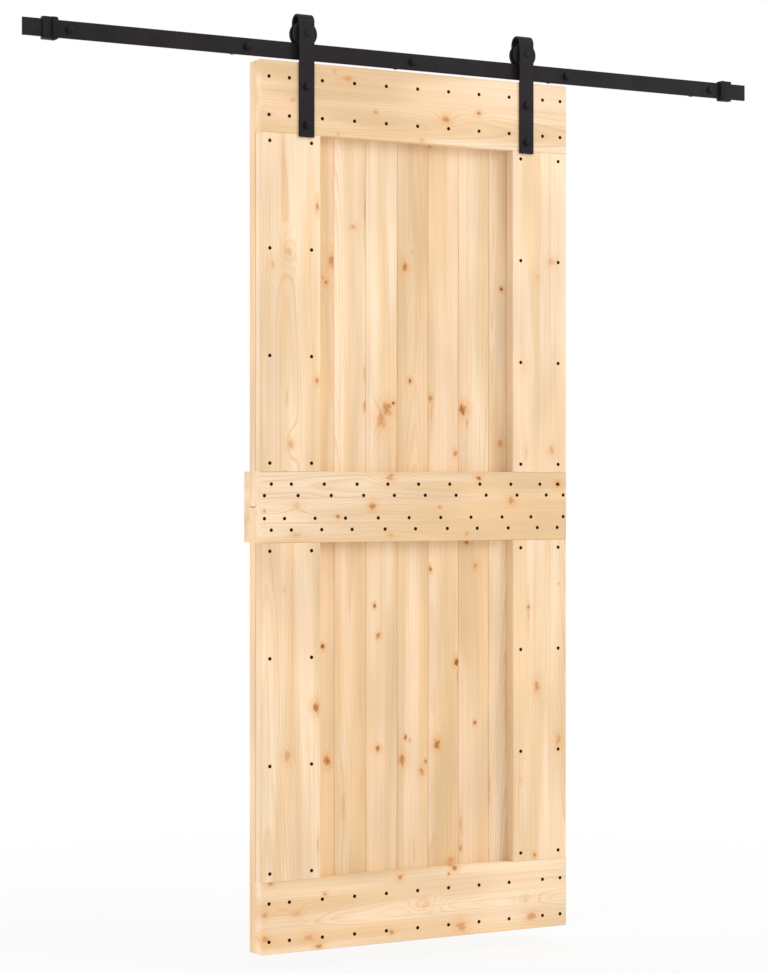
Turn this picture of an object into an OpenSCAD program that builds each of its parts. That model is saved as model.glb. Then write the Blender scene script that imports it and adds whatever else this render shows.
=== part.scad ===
// Sliding plank door that hangs from a flat steel track.
// X runs along the track, the front of the door faces -Y, the wall is the plane y = 0 and +Z is up.
// The origin is where the axis of the middle wall bolt meets the wall.

/* [Door leaf] */
// Width of the leaf
door_w = 850; // [760:5:940]
// Height of the leaf
door_h = 2100; // [1900:10:2300]
// Place of the leaf's centre along the track, from the middle wall bolt
door_place = 10; // [-60:1:60]
// Thickness of the panel boards
panel_t = 30; // [26:1:36]
// Thickness of the front frame
frame_t = 30; // [26:1:36]
// Thickness of the back mid rail
back_rail_t = 30; // [22:1:36]

/* [Panel boards] */
// Cover width of the ripped board at each edge
edge_board_w = 36; // [30:1:48]
// Reach of a board's tongue
tongue_reach = 8; // [6:1:10]
// Thickness of a board's tongue
tongue_t = 8; // [6:1:10]
// Bevel along a board's front edges
board_bevel = 1.4; // [0.6:0.1:2]

/* [Frame] */
// Height of the top rail
top_rail_h = 170; // [150:1:190]
// Height of the bottom rail
bottom_rail_h = 170; // [150:1:190]
// Height of the front and back mid rails
mid_rail_h = 168; // [150:1:190]
// Width of the stiles
stile_w = 157; // [145:1:165]
// Bevel along the long edges of rails and stiles
frame_bevel = 1.4; // [0.5:0.1:2]

/* [Wood screws] */
// Diameter of a screw's head
screw_head_d = 8.7; // [8:0.1:10]
// Diameter of a screw's shank
screw_d = 4.8; // [4:0.1:5.6]
// Depth of the heads below the wood
screw_sink = 0.4; // [0.2:0.1:0.8]
// Wood left beyond a screw's tip
screw_cover = 10; // [7:0.5:13]
// Distance between the two rows of screws in the top and bottom rails
rail_row_pitch = 90; // [80:1:100]
// From the top of the leaf to the top rail's upper row of screws
top_row_drop = 39; // [30:1:45]
// From the bottom of the leaf to the bottom rail's lower row of screws
bottom_row_rise = 29.5; // [24:0.5:45]
// From the edge of a stile to its nearer column of screws
stile_screw_edge = 23.5; // [18:0.5:30]
// From the end of a stile to its first screws
stile_screw_end = 19.5; // [16:0.5:30]
// Screws in one column of a stile
stile_screw_rows = 4; // [3:1:6]
// From the mid rail's centre line to its outer rows of screws
mid_row_outer = 54; // [50:1:62]
// From the mid rail's centre line to its inner rows of screws
mid_row_inner = 27; // [20:1:36]

/* [Hangers] */
// From the leaf's side to the centre of a strap
hanger_inset = 119; // [105:1:130]
// Width of a strap
strap_w = 40; // [34:1:46]
// Thickness of a strap
strap_t = 5; // [4:0.5:6]
// Bevel along the edges of straps, track and clamps
steel_bevel = 0.7; // [0.4:0.1:1]
// Height of the loop's bend above the axle
loop_rise = 26.5; // [20:0.5:34]
// Reach of a strap below the top of the leaf
strap_drop = 176; // [165:1:180]
// From the top of the leaf to a strap's upper bolt
upper_bolt_drop = 57; // [50:1:70]
// From the top of the leaf to a strap's lower bolt
lower_bolt_drop = 148; // [130:1:155]

/* [Wheels] */
// Diameter over the wheel's flanges
wheel_d = 62; // [56:1:64]
// Diameter of the tread in the groove
tread_d = 42; // [38:1:44]
// Width of a wheel
wheel_w = 28; // [22:1:30]
// Width of the groove's mouth
groove_mouth = 10.4; // [9:0.1:12]
// Rounding of the flanges' outer edges
flange_round = 2.4; // [1:0.1:3]
// Depth of the ring recess in a wheel's sides
dish_depth = 1.6; // [1:0.1:2.5]
// Room between a wheel's side and its strap
wheel_side_gap = 2; // [1:0.5:4]
// Outer diameter of a wheel bearing
bearing_d = 26; // [24:1:28]
// Width of a wheel bearing
bearing_w = 8; // [7:0.5:10]
// Diameter of a bearing ball
ball_d = 4.8; // [4:0.1:5]
// Balls in a bearing
ball_count = 8; // [6:1:9]
// Diameter of an axle
axle_d = 10; // [9:0.5:11]

/* [Track] */
// Length of the track bar
track_len = 2000; // [1950:10:2200]
// Height of the track bar
track_h = 40; // [36:1:44]
// Thickness of the track bar
track_t = 6; // [5:0.5:7]
// Distance between wall bolts
wall_bolt_pitch = 444; // [430:2:448]
// Gap between the track and the top of the leaf
door_drop = 8; // [7:0.5:14]
// Room between the wall and the back of the leaf
wall_gap = 8; // [6:1:20]
// Outer diameter of a spacer tube
spacer_d = 13.5; // [13:0.5:20]

/* [Bolts] */
// Diameter of wall bolts and hanger bolts
bolt_d = 10; // [9:0.5:11]
// Width across the flats of bolt heads and nuts
bolt_flats = 16; // [15:0.5:18]
// Height of a bolt's head
bolt_head_h = 6.4; // [5:0.1:7]
// Diameter of a wall bolt's threaded end
wall_thread_d = 9.6; // [8.6:0.1:9.8]
// Reach of a wall bolt into the wall
wall_bolt_reach = 8; // [6:0.5:60]
// Height of a hanger bolt's nut
nut_h = 8.4; // [7:0.1:10]
// Outer diameter of a washer
washer_d = 28; // [24:1:32]
// Thickness of a washer
washer_t = 2; // [1:0.1:3]
// Diameter of an axle bolt's low head
axle_head_d = 17; // [15:0.5:20]
// Height of an axle bolt's low head
axle_head_h = 2.6; // [2:0.1:4]
// Width across the flats of an axle nut
axle_nut_flats = 16; // [15:0.5:18]
// Height of an axle nut
axle_nut_h = 8; // [6:0.5:10]
// Reach of a hanger bolt or an axle bolt past its nut
bolt_end = 2.5; // [1:0.5:5]

/* [End stops] */
// From the end of the track to the outer side of a stop
stop_inset = 47; // [40:1:70]
// Height of a stop
stop_h = 51; // [49:0.5:52]
// Length of a stop's clamp along the track
clamp_len = 22; // [16:1:28]
// Thickness of a clamp's front wall
clamp_front_t = 4; // [3:0.5:6]
// Thickness of a clamp's back wall
clamp_back_t = 6; // [5:0.5:8]
// Length of a stop's rubber nose along the track
nose_len = 13; // [8:1:16]
// Reach of the nose in front of the track
nose_proud = 10.5; // [9:0.5:14]
// Crown of the nose's front over its height
nose_crown = 4; // [2:0.5:6]
// Rounding of the nose's inner corners
nose_round = 4; // [3:0.5:6]
// Diameter of a set screw
set_screw_d = 5; // [4:0.5:6]
// Distance between a stop's two set screws
set_screw_pitch = 22; // [18:1:26]

/* [Clearances] */
// Gap between neighbouring pieces of wood
wood_gap = 0.3; // [0.2:0.05:0.6]
// Gap between the upper and the lower boards, behind the mid rail
board_end_gap = 2; // [0.6:0.1:2.4]
// Room round a tongue in its groove
tongue_gap = 0.25; // [0.15:0.05:0.5]
// Room round a shank in its hole
hole_gap = 0.1; // [0.05:0.01:0.3]
// Room round a bolt in its hole
bolt_gap = 0.25; // [0.15:0.05:0.5]
// Running room between tread and track
running_gap = 0.3; // [0.2:0.05:0.6]
// Room of a close fit, such as a bearing on its axle
fit_gap = 0.03; // [0.02:0.01:0.08]
// Room between a stop and the track
stop_gap = 0.15; // [0.1:0.05:0.4]

/* [Hidden] */
$fn = 48;

// Overrun of every cut beyond the faces that it opens
overrun = 1;

// Places across the leaf, from its left side, of the screws in the top and bottom rails
rail_screw_shares = [0.025, 0.088, 0.191, 0.293, 0.395, 0.497, 0.599, 0.701, 0.803, 0.918, 0.979];

// Places across the leaf of the mid rail's four rows of screws, the top row first
mid_screw_shares = [
    [0.032, 0.094, 0.197, 0.301, 0.400, 0.500, 0.603, 0.704, 0.809, 0.909, 0.971],
    [0.011, 0.115, 0.219, 0.322, 0.421, 0.522, 0.624, 0.725, 0.830, 0.931, 0.990],
    [0.011, 0.073, 0.168, 0.264, 0.369, 0.469, 0.573, 0.674, 0.779, 0.878, 0.990],
    [0.032, 0.094, 0.189, 0.285, 0.391, 0.490, 0.595, 0.695, 0.800, 0.900, 0.969],
];

// Part of a hexagon's flats left flat on its crown
crown_share = 0.94;
// Length of a screw's point, over its diameter
point_share = 1.2;
// Length of a wall bolt's bevelled tip, over its diameter
tip_share = 0.1;
// Groove width at the tread, over the thickness of the track
groove_share = 1.2;
// Radii of a wheel side's ring recess, over the tread's radius
dish_shares = [0.72, 1.05];
// Diameter of the wheel's shoulder in front of the bearing, over the bearing's diameter
shoulder_share = 0.88;
// Radii of the bearing's inner and outer shoulders, between its bore and its outside
race_shares = [0.32, 0.68];
// Diameter of a bush, over the axle's diameter
bush_share = 1.4;

// Layers of the leaf, from the wall forwards
back_rail_y = -wall_gap - back_rail_t;
panel_front_y = back_rail_y - panel_t;
front_y = panel_front_y - frame_t;
panel_mid_y = back_rail_y - panel_t / 2;

// Track and loop
loop_gap = wheel_w + 2 * wheel_side_gap;
track_y = front_y + loop_gap / 2;
track_front_y = track_y - track_t / 2;
track_back_y = track_y + track_t / 2;
strap_front_y = front_y - strap_t;
loop_back_y = front_y + loop_gap;

// Levels
door_top = -track_h / 2 - door_drop;
door_bottom = door_top - door_h;
mid_z = (door_top + door_bottom) / 2;
axle_z = track_h / 2 + tread_d / 2 + running_gap;
loop_z = axle_z + loop_rise;
strap_bottom = door_top - strap_drop;
bolt_levels = [door_top - upper_bolt_drop, door_top - lower_bolt_drop];

// Places along the track
door_left = door_place - door_w / 2;
hanger_places = [door_left + hanger_inset, door_left + door_w - hanger_inset];
wall_bolt_places = [for (k = [-2 : 2]) k * wall_bolt_pitch];

// Boards: one ripped board at each edge and full boards between them
board_count = 11;
board_cover = (door_w - 2 * edge_board_w) / (board_count - 2);

// Stiles fill the heights between the rails
upper_stile_len = (door_h - mid_rail_h) / 2 - top_rail_h;
lower_stile_len = (door_h - mid_rail_h) / 2 - bottom_rail_h;

// Bearing
axle_hole_d = axle_d + 2 * fit_gap;
ring_wall = (bearing_d - axle_hole_d) / 2;
inner_shoulder_r = axle_hole_d / 2 + race_shares[0] * ring_wall;
outer_shoulder_r = axle_hole_d / 2 + race_shares[1] * ring_wall;
ball_circle_r = (inner_shoulder_r + outer_shoulder_r) / 2;

function two_digits(k) = k < 10 ? str("0", k) : str(k);
function board_name(set, k) = str("board_", set, "_", two_digits(k));

// Shapes that repeat

// Turns a shape that stands on z = 0 so that it starts at y and runs towards the wall
module along_y(x, y, z) {
    translate([x, y, z])
        rotate([-90, 0, 0])
            children();
}

// Cylinder along the depth from y0 to y1
module y_cylinder(x, z, y0, y1, d) {
    along_y(x, y0, z)
        cylinder(d = d, h = y1 - y0);
}

// Hexagon with its free end, at z = h, turned to a crown
module hexagon(flats, h) {
    crown_r = crown_share * flats / 2;
    intersection() {
        cylinder(d = flats / cos(30), h = h, $fn = 6);
        cylinder(r1 = crown_r + h / tan(30), r2 = crown_r, h = h);
    }
}

// Shank with a bevelled tip at its far end
module tipped_shank(d, length) {
    tip = tip_share * d;
    cylinder(d = d, h = length - tip);
    translate([0, 0, length - tip])
        cylinder(d1 = d, d2 = d - 2 * tip, h = tip);
}

// Section of a flat bar with all four edges bevelled: w wide about x = 0, and t thick from y = 0
module flat_section(w, t, bevel) {
    half = w / 2;
    polygon([
        [-half + bevel, 0],
        [half - bevel, 0],
        [half, bevel],
        [half, t - bevel],
        [half - bevel, t],
        [-half + bevel, t],
        [-half, t - bevel],
        [-half, bevel]
    ]);
}

// Hexagon nut with its bore, on the face at y and crowned towards the wall
module nut(x, y, z, flats, h, bore) {
    along_y(x, y, z)
        difference() {
            hexagon(flats, h);
            translate([0, 0, -overrun])
                cylinder(d = bore, h = h + 2 * overrun);
        }
}

// Flat ring on the face at y
module ring(x, y, z, outer, bore, t) {
    along_y(x, y, z)
        difference() {
            cylinder(d = outer, h = t);
            translate([0, 0, -overrun])
                cylinder(d = bore, h = t + 2 * overrun);
        }
}

// Wood screws: their places, their shape and the holes that they sit in

function rail_screw_places(low_row) = [
    for (row = [low_row, low_row + rail_row_pitch])
        for (share = rail_screw_shares)
            [door_left + share * door_w, row]
];

function stile_screw_places(left, low, length) = [
    for (column = [stile_screw_edge, stile_w - stile_screw_edge])
        for (k = [0 : stile_screw_rows - 1])
            [left + column, low + stile_screw_end + k * (length - 2 * stile_screw_end) / (stile_screw_rows - 1)]
];

mid_rows = [mid_row_outer, mid_row_inner, -mid_row_inner, -mid_row_outer];
mid_places = [
    for (row = [0 : len(mid_rows) - 1])
        for (share = mid_screw_shares[row])
            [door_left + share * door_w, mid_z + mid_rows[row]]
];

stile_lefts = [door_left, door_left + door_w - stile_w];
upper_stile_low = mid_z + mid_rail_h / 2;
lower_stile_low = door_bottom + bottom_rail_h;
top_rail_low = door_top - top_rail_h;

upper_stile_places = [
    for (left = stile_lefts) each stile_screw_places(left, upper_stile_low, upper_stile_len)
];
lower_stile_places = [
    for (left = stile_lefts) each stile_screw_places(left, lower_stile_low, lower_stile_len)
];
top_places = rail_screw_places(door_top - top_row_drop - rail_row_pitch);
bottom_places = rail_screw_places(door_bottom + bottom_row_rise);

// Screws through two layers end in the panel, and screws through three end in the back mid rail
short_screw_len = frame_t + panel_t - screw_cover - screw_sink;
long_screw_len = frame_t + panel_t + back_rail_t - screw_cover - screw_sink;
screw_head_h = (screw_head_d - screw_d) / 2;
screw_hole_d = screw_d + 2 * hole_gap;

module screw(place, length) {
    along_y(place.x, front_y + screw_sink, place.y)
        rotate_extrude()
            polygon([
                [0, 0],
                [screw_head_d / 2, 0],
                [screw_d / 2, screw_head_h],
                [screw_d / 2, length - point_share * screw_d],
                [0, length]
            ]);
}

// Shank hole of a screw, blind beyond its point
module screw_hole(place, length) {
    y_cylinder(place.x, place.y, front_y - overrun, front_y + screw_sink + length + hole_gap, screw_hole_d);
}

// Shank hole with the cone that the head sinks into
module sunk_hole(place, length) {
    depth = screw_sink + screw_head_h;
    screw_hole(place, length);
    along_y(place.x, front_y, place.y)
        cylinder(d1 = screw_hole_d + 2 * depth, d2 = screw_hole_d, h = depth);
}

module screws(places, length) {
    for (place = places)
        screw(place, length);
}

module hanger_bolt_holes() {
    for (x = hanger_places)
        for (z = bolt_levels)
            y_cylinder(x, z, front_y - overrun, back_rail_y + overrun, bolt_d + 2 * bolt_gap);
}

// Panel boards

// Outline across a board between two joints, with its groove on the left and its tongue on the right
function board_outline(left, right, grooved, tongued) = concat(
    [
        [left + board_bevel, panel_front_y],
        [right - board_bevel, panel_front_y],
        [right, panel_front_y + board_bevel]
    ],
    tongued ? [
        [right, panel_mid_y - tongue_t / 2],
        [right + tongue_reach, panel_mid_y - tongue_t / 2],
        [right + tongue_reach, panel_mid_y + tongue_t / 2],
        [right, panel_mid_y + tongue_t / 2]
    ] : [],
    [[right, back_rail_y], [left, back_rail_y]],
    grooved ? [
        [left, panel_mid_y + tongue_t / 2 + tongue_gap],
        [left + tongue_reach, panel_mid_y + tongue_t / 2 + tongue_gap],
        [left + tongue_reach, panel_mid_y - tongue_t / 2 - tongue_gap],
        [left, panel_mid_y - tongue_t / 2 - tongue_gap]
    ] : [],
    [[left, panel_front_y + board_bevel]]
);

// Joint lines across the leaf, from its left side to its right side
function joint_x(k) =
    k == 0 ? door_left :
    k == board_count ? door_left + door_w :
    door_left + edge_board_w + (k - 1) * board_cover;

module board(k, low, high, places, deep_places) {
    first = k == 1;
    last = k == board_count;
    left = joint_x(k - 1) + (first ? 0 : wood_gap / 2);
    right = joint_x(k) - (last ? 0 : wood_gap / 2);
    near = tongue_reach + screw_head_d;
    color("#e5c493")
        difference() {
            translate([0, 0, low])
                linear_extrude(height = high - low)
                    polygon(board_outline(left, right, !first, !last));
            for (place = places)
                if (place.x > left - near && place.x < right + near)
                    screw_hole(place, short_screw_len);
            for (place = deep_places)
                if (place.x > left - near && place.x < right + near)
                    screw_hole(place, long_screw_len);
            hanger_bolt_holes();
        }
}

upper_mid_places = [for (place = mid_places) if (place.y > mid_z) place];
lower_mid_places = [for (place = mid_places) if (place.y < mid_z) place];

module board_upper(k) {
    board(k, mid_z + board_end_gap / 2, door_top, concat(top_places, upper_stile_places), upper_mid_places);
}

module board_lower(k) {
    board(k, door_bottom, mid_z - board_end_gap / 2, concat(bottom_places, lower_stile_places), lower_mid_places);
}

// Frame pieces

// Bar with bevelled long edges: across is its width, and it stands on z = 0
module bevelled_bar(across, t, length) {
    linear_extrude(height = length)
        translate([across / 2, 0])
            flat_section(across, t, frame_bevel);
}

module stile(left, low, length) {
    color("#ecd0a2")
        difference() {
            translate([left, front_y, low + wood_gap / 2])
                bevelled_bar(stile_w, frame_t, length - wood_gap);
            for (place = stile_screw_places(left, low, length))
                sunk_hole(place, short_screw_len);
            hanger_bolt_holes();
        }
}

// A front rail is the same bar laid along the leaf, its lower edge at low
module front_rail(low, h) {
    translate([door_left, front_y, low + h])
        rotate([0, 90, 0])
            bevelled_bar(h, frame_t, door_w);
}

module top_rail() {
    color("#e8c797")
        difference() {
            front_rail(top_rail_low, top_rail_h);
            for (place = top_places)
                sunk_hole(place, short_screw_len);
            hanger_bolt_holes();
        }
}

module bottom_rail() {
    color("#e8c797")
        difference() {
            front_rail(door_bottom, bottom_rail_h);
            for (place = bottom_places)
                sunk_hole(place, short_screw_len);
        }
}

module mid_rail_front() {
    color("#e8c797")
        difference() {
            front_rail(mid_z - mid_rail_h / 2, mid_rail_h);
            for (place = mid_places)
                sunk_hole(place, long_screw_len);
        }
}

module mid_rail_back() {
    color("#e1bd8a")
        difference() {
            translate([door_left, -wall_gap, mid_z - mid_rail_h / 2])
                rotate([0, 90, 0])
                    rotate([0, 0, 180])
                        bevelled_bar(mid_rail_h, back_rail_t, door_w);
            for (place = mid_places)
                screw_hole(place, long_screw_len);
        }
}

module rail_screws() {
    color("#241d18")
        screws(concat(top_places, bottom_places), short_screw_len);
}

module stile_screws() {
    color("#241d18")
        screws(concat(upper_stile_places, lower_stile_places), short_screw_len);
}

module mid_rail_screws() {
    color("#241d18")
        screws(mid_places, long_screw_len);
}

// Hangers

// Strap down the front of the leaf, bent over the wheel and ended in a round lug behind it
module hanger(x) {
    color("#2f2d2f")
        difference() {
            union() {
                translate([x, strap_front_y, strap_bottom])
                    linear_extrude(height = loop_z - strap_bottom)
                        flat_section(strap_w, strap_t, steel_bevel);
                translate([x, track_y, loop_z])
                    loop_bend();
                translate([x, loop_back_y, axle_z])
                    linear_extrude(height = loop_z - axle_z)
                        flat_section(strap_w, strap_t, steel_bevel);
                along_y(x, loop_back_y, axle_z)
                    round_lug();
            }
            for (z = bolt_levels)
                y_cylinder(x, z, strap_front_y - overrun, front_y + overrun, bolt_d + 2 * bolt_gap);
            y_cylinder(x, axle_z, strap_front_y - overrun, loop_back_y + strap_t + overrun, axle_d + 2 * bolt_gap);
        }
}

// Loop's bend: the strap's section carried through half a turn about the track's middle plane
module loop_bend() {
    rotate([90, 0, 90])
        rotate_extrude(angle = 180)
            translate([loop_gap / 2, 0])
                rotate(-90)
                    flat_section(strap_w, strap_t, steel_bevel);
}

// Round end of the back leg, as wide as the strap, standing on z = 0
module round_lug() {
    r = strap_w / 2;
    rotate_extrude()
        polygon([
            [0, 0],
            [r - steel_bevel, 0],
            [r, steel_bevel],
            [r, strap_t - steel_bevel],
            [r - steel_bevel, strap_t],
            [0, strap_t]
        ]);
}

// Bolt through strap and leaf, its head on the strap
module hanger_bolt(x, z) {
    grip = strap_t + frame_t + panel_t + washer_t + nut_h + bolt_end;
    along_y(x, strap_front_y, z) {
        mirror([0, 0, 1])
            hexagon(bolt_flats, bolt_head_h);
        cylinder(d = bolt_d, h = grip);
    }
}

module hanger_bolts() {
    color("#2a282a")
        for (x = hanger_places)
            for (z = bolt_levels)
                hanger_bolt(x, z);
}

module hanger_washers() {
    color("#5c5c5e")
        for (x = hanger_places)
            for (z = bolt_levels)
                ring(x, back_rail_y, z, washer_d, bolt_d + 2 * bolt_gap, washer_t);
}

module hanger_nuts() {
    color("#5c5c5e")
        for (x = hanger_places)
            for (z = bolt_levels)
                nut(x, back_rail_y + washer_t, z, bolt_flats, nut_h, bolt_d + 2 * hole_gap);
}

// Axles

// Low crown of an axle bolt's head, above z = 0
module low_crown(d, h) {
    crown_r = (d * d / 4 + h * h) / (2 * h);
    rotate_extrude()
        intersection() {
            translate([0, h - crown_r])
                circle(r = crown_r);
            square([d / 2, h]);
        }
}

module axle_bolts() {
    length = loop_gap + 2 * strap_t + axle_nut_h + bolt_end;
    color("#2a282a")
        for (x = hanger_places)
            along_y(x, strap_front_y, axle_z) {
                mirror([0, 0, 1])
                    low_crown(axle_head_d, axle_head_h);
                cylinder(d = axle_d, h = length);
            }
}

module axle_nuts() {
    color("#5c5c5e")
        for (x = hanger_places)
            nut(x, loop_back_y + strap_t, axle_z, axle_nut_flats, axle_nut_h, axle_d + 2 * hole_gap);
}

// Bushes between the strap and the bearing's inner ring
module axle_bushes() {
    length = (loop_gap - bearing_w) / 2;
    color("#8c8c8e")
        for (x = hanger_places)
            for (y = [front_y, loop_back_y - length])
                ring(x, y, axle_z, bush_share * axle_d, axle_hole_d, length);
}

// Wheels

// Section of a wheel: radius along X, width along Y, the shoulder side at negative Y
module wheel_section() {
    half_w = wheel_w / 2;
    wheel_r = wheel_d / 2;
    tread_r = tread_d / 2;
    tread_half = groove_share * track_t / 2;
    pocket_r = bearing_d / 2 + fit_gap;
    shoulder_r = shoulder_share * bearing_d / 2;
    difference() {
        union() {
            translate([shoulder_r, -half_w])
                square([wheel_r - flange_round - shoulder_r, wheel_w]);
            translate([wheel_r - 2 * flange_round, flange_round - half_w])
                square([2 * flange_round, wheel_w - 2 * flange_round]);
            for (side = [-1, 1])
                translate([wheel_r - flange_round, side * (half_w - flange_round)])
                    circle(r = flange_round);
        }
        polygon([
            [tread_r, -tread_half],
            [wheel_r, -groove_mouth / 2],
            [wheel_r + overrun, -groove_mouth / 2],
            [wheel_r + overrun, groove_mouth / 2],
            [wheel_r, groove_mouth / 2],
            [tread_r, tread_half]
        ]);
        for (low = [-half_w - overrun, half_w - dish_depth])
            translate([dish_shares[0] * tread_r, low])
                square([(dish_shares[1] - dish_shares[0]) * tread_r, dish_depth + overrun]);
        translate([shoulder_r - overrun, -bearing_w / 2 - fit_gap])
            square([pocket_r - shoulder_r + overrun, half_w + bearing_w / 2 + fit_gap + overrun]);
    }
}

module wheel(x) {
    color("#262426")
        along_y(x, track_y, axle_z)
            rotate_extrude()
                wheel_section();
}

// Ball track cut in both bearing rings
module ball_track() {
    translate([ball_circle_r, 0])
        circle(d = ball_d + 2 * fit_gap);
}

module bearing_outer(x) {
    color("#b4b4b8")
        along_y(x, track_y, axle_z)
            rotate_extrude()
                difference() {
                    translate([outer_shoulder_r, -bearing_w / 2])
                        square([bearing_d / 2 - outer_shoulder_r, bearing_w]);
                    ball_track();
                }
}

module bearing_inner_rings() {
    color("#b4b4b8")
        for (x = hanger_places)
            along_y(x, track_y, axle_z)
                rotate_extrude()
                    difference() {
                        translate([axle_hole_d / 2, -bearing_w / 2])
                            square([inner_shoulder_r - axle_hole_d / 2, bearing_w]);
                        ball_track();
                    }
}

module bearing_balls() {
    color("#c8c8cc")
        for (x = hanger_places)
            along_y(x, track_y, axle_z)
                for (k = [0 : ball_count - 1])
                    rotate([0, 0, k * 360 / ball_count])
                        translate([ball_circle_r, 0, 0])
                            sphere(d = ball_d);
}

// Track

module track_bar() {
    color("#302e30")
        difference() {
            translate([track_len / 2, track_front_y, 0])
                rotate([0, -90, 0])
                    linear_extrude(height = track_len)
                        flat_section(track_h, track_t, steel_bevel);
            for (x = wall_bolt_places)
                y_cylinder(x, 0, track_front_y - overrun, track_back_y + overrun, bolt_d + 2 * bolt_gap);
        }
}

module track_spacers() {
    color("#2a282a")
        for (x = wall_bolt_places)
            ring(x, track_back_y, 0, spacer_d, bolt_d + 2 * bolt_gap, -track_back_y);
}

// Bolt through bar and spacer, with a plain shank up to the wall and a threaded end in it
module wall_bolts() {
    color("#2a282a")
        for (x = wall_bolt_places) {
            along_y(x, track_front_y, 0) {
                mirror([0, 0, 1])
                    hexagon(bolt_flats, bolt_head_h);
                cylinder(d = bolt_d, h = -track_front_y);
            }
            along_y(x, 0, 0)
                tipped_shank(wall_thread_d, wall_bolt_reach);
        }
}

// End stops, drawn for the right end: side is 1 there and -1 at the left end

stop_outer_x = track_len / 2 - stop_inset;
clamp_inner_x = stop_outer_x - clamp_len;
nose_inner_x = clamp_inner_x - nose_len;
stop_back_y = track_back_y + stop_gap + clamp_back_t;
nose_front_y = track_front_y - nose_proud;

// Room for the bar through a stop, with its lowest end at x
module bar_slot(x, length) {
    translate([x - overrun, track_front_y - stop_gap, -track_h / 2 - stop_gap])
        cube([length + 2 * overrun, track_t + 2 * stop_gap, track_h + 2 * stop_gap]);
}

module at_end(side) {
    if (side < 0)
        mirror([1, 0, 0])
            children();
    else
        children();
}

module stop_clamp(side) {
    front = track_front_y - stop_gap - clamp_front_t;
    color("#2f2d2f")
        at_end(side)
            difference() {
                translate([stop_outer_x, front, 0])
                    rotate([0, -90, 0])
                        linear_extrude(height = clamp_len)
                            flat_section(stop_h, stop_back_y - front, steel_bevel);
                bar_slot(clamp_inner_x, clamp_len);
                for (z = [-set_screw_pitch / 2, set_screw_pitch / 2])
                    y_cylinder(
                        clamp_inner_x + clamp_len / 2,
                        z,
                        track_back_y,
                        stop_back_y + overrun,
                        set_screw_d + 2 * hole_gap
                    );
            }
}

// Outline of the nose seen along the track: crowned towards the front
module nose_side() {
    half_h = stop_h / 2;
    depth = stop_back_y - nose_front_y;
    crown_r = (half_h * half_h + nose_crown * nose_crown) / (2 * nose_crown);
    intersection() {
        translate([nose_front_y, -half_h])
            square([depth, stop_h]);
        union() {
            translate([nose_front_y + crown_r, 0])
                circle(r = crown_r);
            translate([nose_front_y + nose_crown, -half_h])
                square([depth - nose_crown, stop_h]);
        }
    }
}

// Outline of the nose seen from the front: its inner corners are rounded
module nose_face() {
    half_h = stop_h / 2;
    translate([nose_inner_x + nose_round, -half_h])
        square([nose_len - nose_round, stop_h]);
    translate([nose_inner_x, nose_round - half_h])
        square([nose_len, stop_h - 2 * nose_round]);
    for (z = [nose_round - half_h, half_h - nose_round])
        translate([nose_inner_x + nose_round, z])
            circle(r = nose_round);
}

module stop_nose(side) {
    color("#1f1e1f")
        at_end(side)
            difference() {
                intersection() {
                    translate([nose_inner_x, 0, 0])
                        rotate([90, 0, 90])
                            linear_extrude(height = nose_len)
                                nose_side();
                    translate([0, stop_back_y, 0])
                        rotate([90, 0, 0])
                            linear_extrude(height = stop_back_y - nose_front_y)
                                nose_face();
                }
                bar_slot(nose_inner_x, nose_len);
            }
}

module stop_screws() {
    color("#5c5c5e")
        for (side = [-1, 1])
            at_end(side)
                for (z = [-set_screw_pitch / 2, set_screw_pitch / 2])
                    y_cylinder(clamp_inner_x + clamp_len / 2, z, track_back_y, stop_back_y, set_screw_d);
}

// The pieces

for (k = [1 : board_count]) {
    board_upper(k);
    board_lower(k);
}
stile(stile_lefts[0], upper_stile_low, upper_stile_len);  // stile_upper_left
stile(stile_lefts[1], upper_stile_low, upper_stile_len);  // stile_upper_right
stile(stile_lefts[0], lower_stile_low, lower_stile_len);  // stile_lower_left
stile(stile_lefts[1], lower_stile_low, lower_stile_len);  // stile_lower_right
top_rail();
bottom_rail();
mid_rail_front();
mid_rail_back();
rail_screws();
stile_screws();
mid_rail_screws();
hanger(hanger_places[0]);  // hanger_left
hanger(hanger_places[1]);  // hanger_right
hanger_bolts();
hanger_washers();
hanger_nuts();
axle_bolts();
axle_nuts();
axle_bushes();
wheel(hanger_places[0]);  // wheel_left
wheel(hanger_places[1]);  // wheel_right
bearing_outer(hanger_places[0]);  // bearing_outer_left
bearing_outer(hanger_places[1]);  // bearing_outer_right
bearing_inner_rings();
bearing_balls();
track_bar();
track_spacers();
wall_bolts();
stop_clamp(-1);  // stop_clamp_left
stop_clamp(1);  // stop_clamp_right
stop_nose(-1);  // stop_nose_left
stop_nose(1);  // stop_nose_right
stop_screws();
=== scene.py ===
"""Looks of a plank door that slides on a flat track: solid pine, black coated steel and a plain studio."""

import math

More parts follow.
